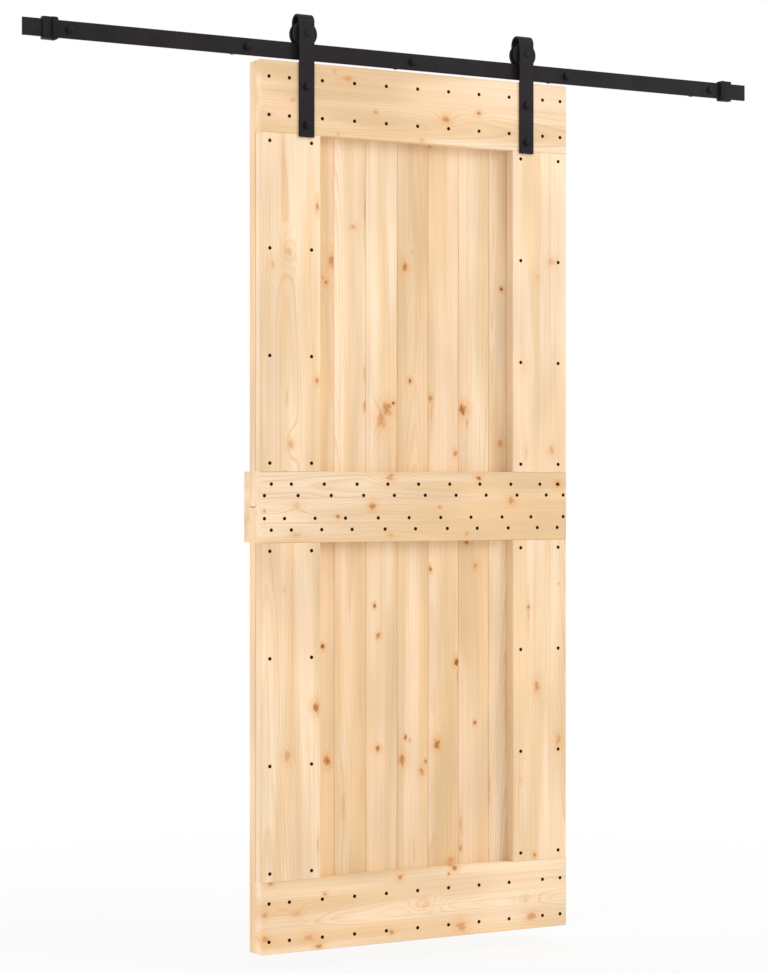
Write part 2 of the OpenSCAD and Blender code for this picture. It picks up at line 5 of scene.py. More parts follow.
import bpy
import numpy as np
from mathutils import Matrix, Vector


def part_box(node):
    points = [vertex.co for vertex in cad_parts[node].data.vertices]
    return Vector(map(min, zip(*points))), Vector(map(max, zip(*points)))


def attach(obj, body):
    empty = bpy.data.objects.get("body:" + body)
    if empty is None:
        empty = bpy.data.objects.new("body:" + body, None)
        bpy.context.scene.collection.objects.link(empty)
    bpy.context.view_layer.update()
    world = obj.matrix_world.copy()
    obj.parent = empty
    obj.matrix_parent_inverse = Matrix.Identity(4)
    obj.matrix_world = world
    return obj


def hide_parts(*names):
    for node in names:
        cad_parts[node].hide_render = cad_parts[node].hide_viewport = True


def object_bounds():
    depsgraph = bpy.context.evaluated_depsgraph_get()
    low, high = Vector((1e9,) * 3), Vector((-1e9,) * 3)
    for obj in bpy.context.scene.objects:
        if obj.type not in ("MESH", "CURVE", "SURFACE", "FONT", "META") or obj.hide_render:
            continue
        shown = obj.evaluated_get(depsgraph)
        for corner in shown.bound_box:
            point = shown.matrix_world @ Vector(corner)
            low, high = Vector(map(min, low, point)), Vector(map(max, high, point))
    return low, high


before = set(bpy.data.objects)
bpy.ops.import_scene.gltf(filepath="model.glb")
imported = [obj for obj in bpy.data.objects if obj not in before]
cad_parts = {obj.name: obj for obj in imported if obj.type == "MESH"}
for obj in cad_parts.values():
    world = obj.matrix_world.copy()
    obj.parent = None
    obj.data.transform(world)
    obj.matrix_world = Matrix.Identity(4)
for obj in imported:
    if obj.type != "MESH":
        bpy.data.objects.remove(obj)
CAD_LOW, CAD_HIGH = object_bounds()

bl_info = {
    "name": "Sliding plank door",
    "version": (1, 0, 0),
    "blender": (4, 5, 0),
    "location": "View3D > Sidebar > Sliding Door",
    "description": "Dresses a plank door on a flat track in pine and black steel, in a plain studio",
    "category": "Object",
}

MM = 0.001
GOLDEN = 0.618034
FULL_TURN = 2 * math.pi
WHITE = (1.0, 1.0, 1.0, 1.0)

# Pieces of wood: the grain of boards and stiles runs up, that of rails runs along the track
BOARDS = sorted(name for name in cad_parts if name.startswith("board_"))
STILES = ("stile_lower_left", "stile_lower_right", "stile_upper_left", "stile_upper_right")
LEFT_STILES = ("stile_lower_left", "stile_upper_left")
RAILS = ("top_rail", "mid_rail_front", "mid_rail_back", "bottom_rail")
SCREW_NODES = ("rail_screws", "stile_screws", "mid_rail_screws")

# How ruddy each board is, from left to right: 0 is pale, 1 is warm, and past 1 few pale streaks are left
BOARD_TONE_SHARES = {
    "upper": (0.3, 0.3, 0.95, 0.35, 0.35, 1.05, 0.5, 0.2, 0.6, 0.55, 0.5),
    "lower": (0.3, 0.55, 1.2, 0.85, 0.5, 0.6, 0.85, 0.85, 0.0, 0.35, 0.65),
}
# The same for the frame, at the lower and upper end of a stile and at the left and right end of a rail
FRAME_TONE_SHARES = {
    "stile_upper_left": (0.3, -0.2),
    "stile_upper_right": (0.15, -0.3),
    "stile_lower_left": (0.15, 0.6),
    "stile_lower_right": (0.5, -0.1),
    "top_rail": (0.9, 0.2),
    "mid_rail_front": (0.0, 0.75),
    "mid_rail_back": (0.5, 0.5),
    "bottom_rail": (0.75, -0.15),
}

# Knots and pitch streaks of each piece: share across it, share along it, radius in mm, stretch along the
# grain and depth of colour
KNOT_SHARES = {
    "board_upper_02": ((0.5, 0.62, 7, 1.3, 0.6), (0.3, 0.2, 4, 1.4, 0.7)),
    "board_upper_03": ((0.85, 0.56, 8, 1.8, 0.6), (0.69, 0.51, 5, 1.4, 0.7), (0.6, 0.52, 3, 1.5, 0.6)),
    "board_upper_04": (
        (0.55, 0.64, 7, 0.8, 0.45), (0.9, 0.23, 4, 2.5, 0.55), (0.89, 0.3, 3, 7, 0.4),
        (0.9, 0.68, 2.5, 15, 0.4),
    ),
    "board_upper_05": (
        (0.81, 0.237, 4, 1.2, 0.9), (0.62, 0.226, 12, 1.3, 0.6), (0.46, 0.198, 12, 1.8, 0.5),
    ),
    "board_upper_06": (
        (0.23, 0.552, 7, 1.5, 0.7), (0.46, 0.59, 3, 1.5, 0.35), (0.38, 0.29, 4, 1.3, 0.95),
    ),
    "board_upper_07": (
        (0.05, 0.837, 3, 1.2, 0.8), (0.07, 0.25, 5, 1.8, 0.6), (0.11, 0.215, 2.5, 10, 0.35),
        (0.83, 0.123, 6, 1.2, 0.6),
    ),
    "board_upper_08": ((0.12, 0.225, 11, 1.2, 0.8), (0.26, 0.195, 2.5, 4, 0.5)),
    "board_upper_09": (
        (0.39, 0.512, 4, 1.2, 0.95), (0.57, 0.689, 4, 14, 0.35), (0.36, 0.146, 8, 1.2, 0.5),
        (0.57, 0.284, 2.5, 5, 0.45),
    ),
    "board_upper_10": ((0.5, 0.78, 6, 1.3, 0.7),),
    "board_lower_02": ((0.6, 0.3, 8, 1.2, 0.6),),
    "board_lower_03": ((0.59, 0.683, 5, 1.2, 0.95), (0.72, 0.422, 8, 1.4, 0.8)),
    "board_lower_04": ((0.27, 0.316, 6, 6, 0.3), (0.8, 0.36, 5, 8, 0.2)),
    "board_lower_05": (
        (0.25, 0.773, 4, 1.2, 0.95), (0.36, 0.704, 5.5, 1.2, 0.65), (0.36, 0.444, 6, 1.1, 0.75),
    ),
    "board_lower_06": (
        (0.25, 0.466, 4, 1.4, 0.8), (0.37, 0.458, 3, 1.5, 0.5), (0.14, 0.414, 9, 1.4, 0.65),
        (0.84, 0.408, 3.5, 1.6, 0.7), (0.73, 0.385, 7, 1.1, 0.55), (0.5, 0.2, 6, 5, 0.25),
    ),
    "board_lower_07": (
        (0.07, 0.853, 3.5, 1.8, 0.85), (0.87, 0.636, 6.5, 1.4, 0.95), (0.89, 0.6, 2.5, 10, 0.4),
        (0.27, 0.446, 9, 1.3, 0.75), (0.68, 0.172, 9, 1, 0.45),
    ),
    "board_lower_08": (
        (0.52, 0.861, 7, 1, 0.5), (0.24, 0.916, 5, 1.1, 0.8), (0.49, 0.491, 4, 1.2, 0.95),
        (0.07, 0.25, 3, 14, 0.4), (0.07, 0.2, 3.5, 2.5, 0.7),
    ),
    "board_lower_09": ((0.58, 0.573, 2.5, 14, 0.45), (0.02, 0.337, 3, 12, 0.35)),
    "board_lower_10": ((0.4, 0.55, 7, 1.2, 0.7), (0.6, 0.2, 4, 1.3, 0.8)),
    "stile_upper_left": (
        (0.95, 0.79, 4, 3, 0.6), (0.46, 0.65, 9, 1.1, 0.35), (0.2, 0.61, 7, 1.5, 0.3),
        (0.94, 0.27, 4.5, 1.3, 0.65), (0.5, 0.08, 8, 1.5, 0.4),
    ),
    "stile_lower_left": (
        (0.4, 0.86, 6, 1, 0.2), (0.93, 0.51, 8.5, 1.4, 0.75), (0.44, 0.37, 9, 1.2, 0.4),
        (0.96, 0.1, 3, 6, 0.35),
    ),
    "stile_upper_right": (
        (0.72, 0.66, 9, 1, 0.35), (0.46, 0.61, 6, 1.6, 0.25), (0.23, 0.33, 8, 2.5, 0.15),
        (0.72, 0.07, 8, 1.3, 0.4), (0.25, 0.06, 4, 6, 0.25),
    ),
    "stile_lower_right": (
        (0.29, 0.79, 4, 1.2, 0.75), (0.29, 0.77, 1.8, 22, 0.35), (0.85, 0.86, 2.5, 1, 0.45),
        (0.44, 0.54, 6.5, 2, 0.55), (0.85, 0.37, 8, 1.6, 0.45), (0.14, 0.25, 7, 1, 0.2),
        (0.41, 0.015, 4, 1.3, 0.65),
    ),
    "top_rail": (
        (0.39, 0.36, 5, 1.1, 0.5), (0.83, 0.27, 7, 2, 0.4), (0.37, 0.59, 8, 1.2, 0.6),
        (0.5, 0.7, 5, 1.2, 0.65), (0.04, 0.51, 5, 1.2, 0.35), (0.91, 0.23, 3, 1.2, 0.45),
        (0.04, 0.24, 3, 1.2, 0.45), (0.47, 0.1, 5, 1.5, 0.35),
    ),
    "mid_rail_front": (
        (0.93, 0.41, 8, 1.2, 0.5), (0.51, 0.35, 7.5, 1.2, 0.65), (0.36, 0.24, 4, 1.2, 0.75),
        (0.52, 0.11, 8, 1.4, 0.3), (0.11, 0.11, 7, 2, 0.3), (0.09, 0.41, 7, 1.5, 0.3),
        (0.45, 0.01, 2.5, 1, 0.7), (0.91, 0.7, 6, 1.1, 0.8), (0.58, 0.81, 8, 1.1, 0.55),
        (0.82, 0.97, 7, 1.1, 0.75), (0.49, 0.57, 4, 1.1, 0.5), (0.1, 0.66, 4, 1.2, 0.5),
    ),
    "mid_rail_back": ((0.6, 0.3, 8, 1.2, 0.6), (0.35, 0.72, 6, 1.2, 0.7), (0.8, 0.55, 4, 1.3, 0.6)),
    "bottom_rail": (
        (0.98, 0.03, 5, 1.4, 0.55), (0.53, 0.11, 9, 1.5, 0.3), (0.19, 0.15, 8, 1.4, 0.4),
        (0.55, 0.012, 7, 1, 0.45), (0.22, 0.012, 8, 1.3, 0.5), (0.05, 0.18, 7, 1.2, 0.6),
        (0.44, 0.86, 6, 1.2, 0.25), (0.18, 0.88, 9, 1.4, 0.5), (0.91, 0.44, 6, 1.2, 0.6),
        (0.77, 0.2, 5, 1.2, 0.5), (0.15, 0.41, 5, 1.1, 0.65), (0.98, 0.62, 6, 1.2, 0.7),
        (0.9, 0.6, 3, 1.2, 0.7), (0.13, 0.64, 12, 1.2, 0.5), (0.49, 0.52, 8, 1.3, 0.25),
    ),
}

# Noises in the pine, by cells to the metre across, through and along the grain
WANDER_CELLS = (9.0, 9.0, 1.4)
FIBRE_CELLS = (700.0, 700.0, 7.0)
STREAK_CELLS = (120.0, 120.0, 1.3)
BLUSH_CELLS = (20.0, 20.0, 1.6)
HUE_CELLS = (17.0, 17.0, 1.1)
CLOUD_CELLS = (8.0, 8.0, 3.0)
RIM_CELLS = (130.0, 130.0, 75.0)
NOISE_MIDDLE = (0.5, 0.5, 0.5)

# Moves that keep one noise from lying on another, and the pines of two pieces from being alike
HUE_MOVE = (3.0, 5.0, 7.0)
CLOUD_MOVE = (9.0, 2.0, 4.0)
SEED_STRIDE = (1.7, 0.9, 2.3)

# Where a piece's pith lies from its middle, how far it leans to the metre, and how its ring width varies
PITH_ACROSS = (-0.12, 0.12)
PITH_DEPTH = (0.03, 0.1)
LEAN_ACROSS = (-0.012, 0.012)
LEAN_DEPTH = (0.004, 0.03)
RING_SPREAD = (0.75, 1.3)

# Growth: how far rings wander, where in a year the wood darkens and stops, and how dark a weak year gets
WANDER_REACH = (16 * MM, 16 * MM, 0.0)
YEAR_DARKENS = 0.3
YEAR_STOPS = 0.9
WEAK_YEAR = 0.35

# Knots, in radii: the wavy rim, the fall of heart and halo, the branch's own rings and the bend round it
RIM_REACH = (2.2, 0.0, 2.2)
HEART_FALL = (0.4, 1.5, 1.0, 0.0)
HALO_FALL = (0.6, 3.6, 1.0, 0.0)
BRANCH_YEARS = 3.5
BRANCH_DARKENS = 0.2
BRANCH_RING_SHARE = 0.3
SWELL_SQUASH = (0.42, 0.0, 0.22)
SWELL_HEIGHT = 1.2

# Colour of the pine: where a noise starts and ends to act, and what it gives before and after
BLUSH_TONE = (0.35, 0.65, -0.36, 0.36)
STRAW_SHARE = (0.5, 0.66, 0.0, 0.65)
ROSY_SHARE = (0.34, 0.48, 0.45, 0.0)
STREAK_SHARE = (0.48, 0.78, 0.0, 0.42)
FIBRE_SHADE = (0.25, 0.75, 0.94, 1.04)
CLOUD_SHADE = (0.35, 0.65, 0.94, 1.05)
AMBER_SHARE = (0.0, 0.7, 0.0, 1.0)
DEAD_SHARE = (0.45, 0.9, 0.0, 0.95)
LATE_SHARE = 0.58
HALO_SHARE = 0.65

# Painted shade along a left stile's back edge: a dark line that stands for the shadow in its joint with
# the panel; where it starts and where it is full, in shares of the stile's depth, and how dark it gets
JOINT_SHADE_STARTS = 0.37
JOINT_SHADE_FULL = 0.43
JOINT_SHADE_SHARE = 0.6

# Sawn ends of two rails, paler than their fronts: how far in they show, and how much they lower the tone
END_GRAIN_DEPTH = 1 * MM
END_GRAIN_TONES = {
    "top_rail": -0.35,
    "bottom_rail": -0.6,
}

# Colour that the pine lends to the light it throws on its neighbours, greyer than the wood because the
# photo's shadows are, and its share
BOUNCE_COLOUR = (0.95, 0.89, 0.79)
BOUNCE_SHARE = 0.7

# Surface of the pine: roughness and bump of the fibre, of the dark rings and of a knot's heart
FIBRE_ROUGH = (0.2, 0.8, 0.5, 0.66)
LATE_POLISH = -0.1
LATE_RELIEF = 0.5
FIBRE_RELIEF = 0.6
HEART_RELIEF = 0.5
PINE_BUMP = 0.35
PINE_RELIEF = 0.25 * MM
PINE_SPECULAR = 0.3

# Finishes of the hardware: cells of the fine grain to the metre, roughness and height of the grain
POWDER_FINISH = {"cells": 700.0, "rough": 0.4, "relief": 0.05 * MM}
SCREW_FINISH = {"cells": 2500.0, "rough": 0.42, "relief": 0.02 * MM}
BOLT_FINISH = {"cells": 2000.0, "rough": 0.38, "relief": 0.02 * MM}
ZINC_FINISH = {"cells": 1500.0, "rough": 0.34, "relief": 0.02 * MM, "metallic": 1.0}
BEARING_FINISH = {"cells": 3000.0, "rough": 0.2, "relief": 0.005 * MM, "metallic": 1.0}
NYLON_FINISH = {"cells": 900.0, "rough": 0.45, "relief": 0.03 * MM}
RUBBER_FINISH = {"cells": 1400.0, "rough": 0.62, "relief": 0.08 * MM}

# What all these finishes have in common
PATCH_CELLS = (14.0, 14.0, 14.0)
PATCH_GAIN = 1.35
PATCH_SHARE = (0.3, 0.75, 0.0, 1.0)
PATCH_ROUGH = 0.06
PATCH_STARTS, PATCH_ENDS = 0.25, 0.75
GRAIN_ROUGH = 0.08
COAT_BUMP = 0.4
COAT_SPECULAR = 0.06

# Bolts: a turned outline's corners, heads and shanks
CORNERS = 36
ANGLES = np.arange(CORNERS) * FULL_TURN / CORNERS
BOLT_FLATS = 16 * MM
BOLT_R = 5 * MM
CROWN_SHARE = 0.47
CROWN_SLOPE = math.tan(math.radians(30))
CROWN_RINGS = 5
DOME_R = 8.5 * MM
DOME_STARTS = 0.12
DOME_RINGS = 9

# Threads: rings to a pitch, turns in which the groove deepens, and the form of its ridge
THREAD_RINGS = 8
RUN_IN_TURNS = 2
RIDGE_GAIN = 1.7
RIDGE_DROP = 0.35

# Radius of each thread's core, how far before the nut it starts, and the crest of the wall bolts
HANGER_CORE_R = 4.15 * MM
HANGER_THREAD_LEAD = 4 * MM
AXLE_CORE_R = 4.35 * MM
AXLE_THREAD_LEAD = 3 * MM
WALL_CORE_R = 4.1 * MM
WALL_CREST_R = 4.8 * MM

# Ends of bolts: how much and over what length the tip narrows, and the step before the thread
HEXAGON_TIP = {"tip_share": 0.2, "tip_length": 1 * MM}
HEXAGON_STEP = 0.2 * MM
DOME_TIP = {"tip_share": 0.15, "tip_length": 1.2 * MM}
DOME_STEP = 0.5 * MM

# Wood screws, in shares of the head's or shank's radius, and the upright edge of the head
CROSS_ARM = 0.62
CROSS_HALF = 0.16
CROSS_FLOOR = 0.55
TIP_TAPER = 2.4
HEAD_EDGE = 0.15 * MM

# Set screws of the end stops
SET_SCREW_R = 2.5 * MM
SET_SCREW_BEVEL = 0.4 * MM
SET_SCREW_FACE = 0.88
SOCKET_FLATS = 2.5 * MM
SOCKET_DEPTH = 2.5 * MM

# Places read from the nodes: what counts as flat, the room between two rods, and digits after the point
FLAT = 0.01 * MM
ROD_GAP = 15 * MM
PLACE_DIGITS = 4

# Edges of new pieces that bend by more than this stay hard
SHARP_ANGLE = math.radians(32)

# Studio, in metres: the floor, and the share of it that is seen as white by distance; the lamps
FLOOR_HALF = 30.0
FLOOR_STEPS = 24
FLOOR_COLOUR = (0.85, 0.85, 0.85, 1.0)
FLOOR_ROUGH = 0.7
FLOOR_SPECULAR = 0.1
FLOOR_WHITE = (0.8, 2.6, 0.8, 1.0)
KEY_PLACE, KEY_SIZE = (7.2, -7.5, 5.0), 6.5
FILL_PLACE, FILL_SIZE = (-7.2, 4.0, 1.7), 5.0


def linear(colour):
    """A display colour as the linear RGBA that shader sockets take."""
    c = np.array(colour[:3])
    straight = np.where(c <= 0.04045, c / 12.92, ((c + 0.055) / 1.055) ** 2.4)
    return (*straight.tolist(), 1.0)


def spread(rank, low, high, step=1):
    """A value between two limits that changes from rank to rank, by multiples of the golden ratio."""
    return low + (high - low) * ((rank * step * GOLDEN) % 1.0)


# Settings


class PineSettings(bpy.types.PropertyGroup):
    """Colours and figure of the pine."""

    earlywood: bpy.props.FloatVectorProperty(
        name="Earlywood", description="Colour of the wide pale part of a ring",
        subtype="COLOR_GAMMA", size=3, min=0, max=1, default=(0.985, 0.882, 0.75),
    )
    latewood: bpy.props.FloatVectorProperty(
        name="Latewood", description="Colour of the thin dark part of a ring",
        subtype="COLOR_GAMMA", size=3, min=0, max=1, default=(0.89, 0.715, 0.54),
    )
    ruddy: bpy.props.FloatVectorProperty(
        name="Ruddy wood", description="Colour that warm boards lean to",
        subtype="COLOR_GAMMA", size=3, min=0, max=1, default=(0.89, 0.757, 0.58),
    )
    straw: bpy.props.FloatVectorProperty(
        name="Straw tint", description="Yellow tint that lies in streaks",
        subtype="COLOR_GAMMA", size=3, min=0, max=1, default=(0.94, 0.795, 0.605),
    )
    rosy: bpy.props.FloatVectorProperty(
        name="Rosy tint", description="Pink tint that lies in streaks",
        subtype="COLOR_GAMMA", size=3, min=0, max=1, default=(0.975, 0.84, 0.71),
    )
    halo: bpy.props.FloatVectorProperty(
        name="Knot halo", description="Colour of the wood round a knot",
        subtype="COLOR_GAMMA", size=3, min=0, max=1, default=(0.90, 0.65, 0.40),
    )
    amber: bpy.props.FloatVectorProperty(
        name="Live knot", description="Colour of a knot that grew with the wood",
        subtype="COLOR_GAMMA", size=3, min=0, max=1, default=(0.79, 0.495, 0.255),
    )
    # This colour also paints the shade in the joint at a left stile's back
    knot: bpy.props.FloatVectorProperty(
        name="Dead knot", description="Colour of the darkest hearts",
        subtype="COLOR_GAMMA", size=3, min=0, max=1, default=(0.42, 0.26, 0.11),
    )
    ring_width: bpy.props.FloatProperty(
        name="Ring width", description="Growth of one year",
        unit="LENGTH", default=3.1 * MM, min=1 * MM, max=12 * MM,
    )


class SteelSettings(bpy.types.PropertyGroup):
    """Finishes of the metal, nylon and rubber."""

    coat: bpy.props.FloatVectorProperty(
        name="Powder coat", description="Colour of the coat on straps, track and stops",
        subtype="COLOR_GAMMA", size=3, min=0, max=1, default=(0.145, 0.131, 0.14),
    )
    burnt: bpy.props.FloatVectorProperty(
        name="Screw black", description="Colour of the wood screws",
        subtype="COLOR_GAMMA", size=3, min=0, max=1, default=(0.23, 0.09, 0.01),
    )
    blackened: bpy.props.FloatVectorProperty(
        name="Blackened steel", description="Colour of the bolts",
        subtype="COLOR_GAMMA", size=3, min=0, max=1, default=(0.13, 0.117, 0.125),
    )
    zinc: bpy.props.FloatVectorProperty(
        name="Zinc", description="Colour of nuts, washers, bushes, bearings and set screws",
        subtype="COLOR_GAMMA", size=3, min=0, max=1, default=(0.72, 0.73, 0.75),
    )
    nylon: bpy.props.FloatVectorProperty(
        name="Nylon", description="Colour of the wheels",
        subtype="COLOR_GAMMA", size=3, min=0, max=1, default=(0.105, 0.097, 0.102),
    )
    rubber: bpy.props.FloatVectorProperty(
        name="Rubber", description="Colour of the stops' noses",
        subtype="COLOR_GAMMA", size=3, min=0, max=1, default=(0.135, 0.126, 0.131),
    )
    bolt_pitch: bpy.props.FloatProperty(
        name="Thread pitch", description="Pitch of the bolts' threads",
        unit="LENGTH", default=1.5 * MM, min=0.5 * MM, max=3 * MM,
    )


class StageSettings(bpy.types.PropertyGroup):
    """Camera, floor and light."""

    camera_place: bpy.props.FloatVectorProperty(
        name="Camera place", description="Where the camera stands",
        subtype="TRANSLATION", unit="LENGTH", size=3, default=(-2.991, -5.362, -1.026),
    )
    camera_yaw: bpy.props.FloatProperty(
        name="Camera yaw", description="Turn of the level camera away from the door's normal",
        subtype="ANGLE", default=math.radians(28.9),
    )
    lens: bpy.props.FloatProperty(
        name="Lens", description="Focal length over a 36 mm sensor's long side",
        unit="CAMERA", default=92.43, min=10, max=300,
    )
    lens_shift: bpy.props.FloatVectorProperty(
        name="Lens shift", description="Move of the picture's middle from the horizon and the axis",
        size=2, default=(-0.0003, -0.00205), min=-0.1, max=0.1,
    )
    floor_gap: bpy.props.FloatProperty(
        name="Floor gap", description="Room between the leaf and the floor",
        unit="LENGTH", default=0.04, min=0, max=0.5,
    )
    sky_level: bpy.props.FloatProperty(
        name="Sky level", description="Soft light from all round",
        default=0.79, min=0, max=2,
    )
    key_power: bpy.props.FloatProperty(
        name="Key lamp", description="Power of the lamp at the upper right",
        unit="POWER", default=550, min=0, max=5000,
    )
    fill_power: bpy.props.FloatProperty(
        name="Fill lamp", description="Power of the lamp behind at the left",
        unit="POWER", default=215, min=0, max=5000,
    )


class DoorSettings(bpy.types.PropertyGroup):
    """All settings of the dressed door."""

    pine: bpy.props.PointerProperty(
        name="Pine", description="Colours and figure of the pine", type=PineSettings,
    )
    steel: bpy.props.PointerProperty(
        name="Steel", description="Finishes of the hardware", type=SteelSettings,
    )
    stage: bpy.props.PointerProperty(
        name="Stage", description="Camera, floor and light", type=StageSettings,
    )


# Shader nodes


class Wiring:
    """Adds nodes to one tree and joins them, so that a finish reads as a list of steps."""

    def __init__(self, tree):
        self.tree = tree

    def node(self, kind, inputs=(), **settings):
        """A node with its settings made and each input, by name or place, set or joined to a socket."""
        made = self.tree.nodes.new(kind)
        for key, value in settings.items():
            setattr(made, key, value)
        for place, value in dict(inputs).items():
            if isinstance(value, bpy.types.NodeSocket):
                self.tree.links.new(value, made.inputs[place])
            else:
                made.inputs[place].default_value = value
        return made

    def use(self, group, inputs):
        """The outputs of one use of a shared group, with its inputs filled."""
        return self.node("ShaderNodeGroup", inputs, node_tree=group).outputs

    def maths(self, operation, *values):
        """The result of a calculation on numbers or sockets."""
        return self.node("ShaderNodeMath", enumerate(values), operation=operation).outputs[0]

    def vector(self, operation, *values):
        """The result of a calculation on vectors: a number for a length, or else a vector."""
        made = self.node("ShaderNodeVectorMath", enumerate(values), operation=operation)
        return made.outputs["Value" if operation == "LENGTH" else "Vector"]

    def parts(self, vector):
        """The three parts of a vector."""
        return self.node("ShaderNodeSeparateXYZ", {0: vector}).outputs

    def noise(self, place, cells, detail=2.0, out=0):
        """Noise with these cells to the metre along each axis: out is 0 for a value, 1 for a colour."""
        scaled = self.vector("MULTIPLY", place, cells)
        inputs = {"Vector": scaled, "Scale": 1.0, "Detail": detail}
        return self.node("ShaderNodeTexNoise", inputs).outputs[out]

    def step(self, value, start, end, low=0.0, high=1.0):
        """A smooth change from low to high as value goes from start to end."""
        inputs = enumerate((value, start, end, low, high))
        return self.node("ShaderNodeMapRange", inputs, interpolation_type="SMOOTHSTEP").outputs[0]

    def mix(self, share, first, second, blend="MIX"):
        """Two colours blended by a share of the second."""
        inputs = {0: share, 6: first, 7: second}
        return self.node("ShaderNodeMix", inputs, data_type="RGBA", blend_type=blend).outputs[2]


def shared_group(recipe, vectors, values, outputs):
    """A shader node group named for its recipe and built once.

    The recipe takes a Wiring and the group's inputs, and gives a socket for each of the outputs."""
    name = recipe.__name__
    if name in bpy.data.node_groups:
        return bpy.data.node_groups[name]
    tree = bpy.data.node_groups.new(name, "ShaderNodeTree")
    for label in vectors:
        tree.interface.new_socket(label, in_out="INPUT", socket_type="NodeSocketVector")
    for label in values:
        tree.interface.new_socket(label, in_out="INPUT", socket_type="NodeSocketFloat")
    for label in outputs:
        tree.interface.new_socket(label, in_out="OUTPUT", socket_type="NodeSocketFloat")
    entry = tree.nodes.new("NodeGroupInput").outputs
    leave = tree.nodes.new("NodeGroupOutput").inputs
    for label, socket in recipe(Wiring(tree), entry).items():
        tree.links.new(socket, leave[label])
    return tree


def year_band(w, season, darkens):
    """Darkness through a year's growth: it rises slowly from darkens on and then stops at once."""
    rise = w.step(season, darkens, YEAR_STOPS)
    return w.maths("MULTIPLY", rise, w.step(season, YEAR_STOPS, 1.0, 1.0, 0.0))


def pine_figure(w, entry):
    """Rings of a log: the distance from a leaning pith, bent by slow noise and by knots, cut into years.

    Fibre, streaks, blush, hue and clouds are noises that are drawn out along the grain."""
    place = entry["Place"]
    seeded = w.vector("ADD", place, entry["Seed"])
    wander = w.vector("SUBTRACT", w.noise(seeded, WANDER_CELLS, out=1), NOISE_MIDDLE)
    wander = w.vector("MULTIPLY", wander, WANDER_REACH)
    along = w.parts(place)[2]
    height = w.node("ShaderNodeCombineXYZ", {0: along, 1: along}).outputs[0]
    pith = w.vector("ADD", entry["Pith"], w.vector("MULTIPLY", entry["Lean"], height))
    radial = w.vector("SUBTRACT", w.vector("ADD", place, wander), pith)
    radius = w.vector("LENGTH", w.vector("MULTIPLY", radial, (1.0, 1.0, 0.0)))
    year = w.maths("DIVIDE", w.maths("ADD", radius, entry["Swell"]), entry["Ring width"])
    number = w.maths("FLOOR", year)
    vigour = w.node("ShaderNodeTexWhiteNoise", {"W": number}, noise_dimensions="1D").outputs[0]
    late = year_band(w, w.maths("FRACT", year), YEAR_DARKENS)
    return {
        "Late": w.maths("MULTIPLY", late, w.step(vigour, 0.0, 1.0, WEAK_YEAR, 1.0)),
        "Fibre": w.noise(seeded, FIBRE_CELLS, 3.0),
        "Streak": w.noise(seeded, STREAK_CELLS, 3.0),
        "Blush": w.noise(seeded, BLUSH_CELLS, 1.0),
        "Hue": w.noise(w.vector("ADD", seeded, HUE_MOVE), HUE_CELLS, 1.0),
        "Cloud": w.noise(w.vector("ADD", seeded, CLOUD_MOVE), CLOUD_CELLS, 1.0),
    }


def pine_knot(w, entry):
    """A branch through the wood: an oval with a wavy rim, rings of its own, a dark heart and a halo.

    The rings of the log swell round it by a bell curve of the distance from its middle."""
    place, reach, depth = entry["Place"], entry["Reach"], entry["Depth"]
    ripple = w.vector("SUBTRACT", w.noise(place, RIM_CELLS, 3.0, out=1), NOISE_MIDDLE)
    ripple = w.vector("MULTIPLY", ripple, RIM_REACH)
    offset = w.vector("MULTIPLY", w.vector("SUBTRACT", place, entry["Centre"]), (1.0, 0.0, 1.0))
    scaled = w.vector("DIVIDE", offset, reach)
    uneven = w.vector("LENGTH", w.vector("ADD", scaled, ripple))
    heart = w.step(uneven, *HEART_FALL)
    halo = w.step(uneven, *HALO_FALL)
    season = w.maths("FRACT", w.maths("MULTIPLY", uneven, BRANCH_YEARS))
    band = year_band(w, season, BRANCH_DARKENS)
    rings = w.maths("MULTIPLY_ADD", band, BRANCH_RING_SHARE, 1 - BRANCH_RING_SHARE)
    core = w.maths("MULTIPLY", heart, rings)
    wide = w.vector("LENGTH", w.vector("MULTIPLY", scaled, SWELL_SQUASH))
    bell = w.maths("EXPONENT", w.maths("MULTIPLY", w.maths("MULTIPLY", wide, wide), -1.0))
    swell = w.maths("MULTIPLY", bell, w.parts(reach)[0])
    return {
        "Heart": w.maths("MULTIPLY", core, depth),
        "Halo": w.maths("MULTIPLY", halo, depth),
        "Swell": w.maths("MULTIPLY", swell, SWELL_HEIGHT),
    }


def fine_skin(w, entry):
    """Unevenness of a coated or moulded surface: a fine grain, by cells to the metre, and slow patches."""
    inputs = {"Vector": entry["Place"], "Scale": entry["Cells"], "Detail": 3.0}
    grain = w.node("ShaderNodeTexNoise", inputs).outputs[0]
    return {"Grain": grain, "Patch": w.noise(entry["Place"], PATCH_CELLS, 3.0)}


def figure_group():
    """The shared group of a log's figure."""
    vectors = ("Place", "Seed", "Pith", "Lean")
    outputs = ("Late", "Fibre", "Streak", "Blush", "Hue", "Cloud")
    return shared_group(pine_figure, vectors, ("Ring width", "Swell"), outputs)


def knot_group():
    """The shared group of a knot."""
    return shared_group(pine_knot, ("Place", "Centre", "Reach"), ("Depth",), ("Heart", "Halo", "Swell"))


def skin_group():
    """The shared group of coated and moulded surfaces."""
    return shared_group(fine_skin, ("Place",), ("Cells",), ("Grain", "Patch"))


def seen_straight(w):
    """1 for rays from the camera and for those that reflect or pass through, and 0 for diffuse light."""
    rays = w.node("ShaderNodeLightPath").outputs
    seen = w.maths("MAXIMUM", rays["Is Camera Ray"], rays["Is Glossy Ray"])
    return w.maths("MAXIMUM", seen, rays["Is Transmission Ray"])


# Materials


def new_material(name):
    """An empty material, its Wiring and its Principled shader, which is joined to the output."""
    material = bpy.data.materials.new(name)
    material.use_nodes = True
    material.node_tree.nodes.clear()
    w = Wiring(material.node_tree)
    shader = w.node("ShaderNodeBsdfPrincipled")
    w.node("ShaderNodeOutputMaterial", {"Surface": shader.outputs["BSDF"]})
    return material, w, shader


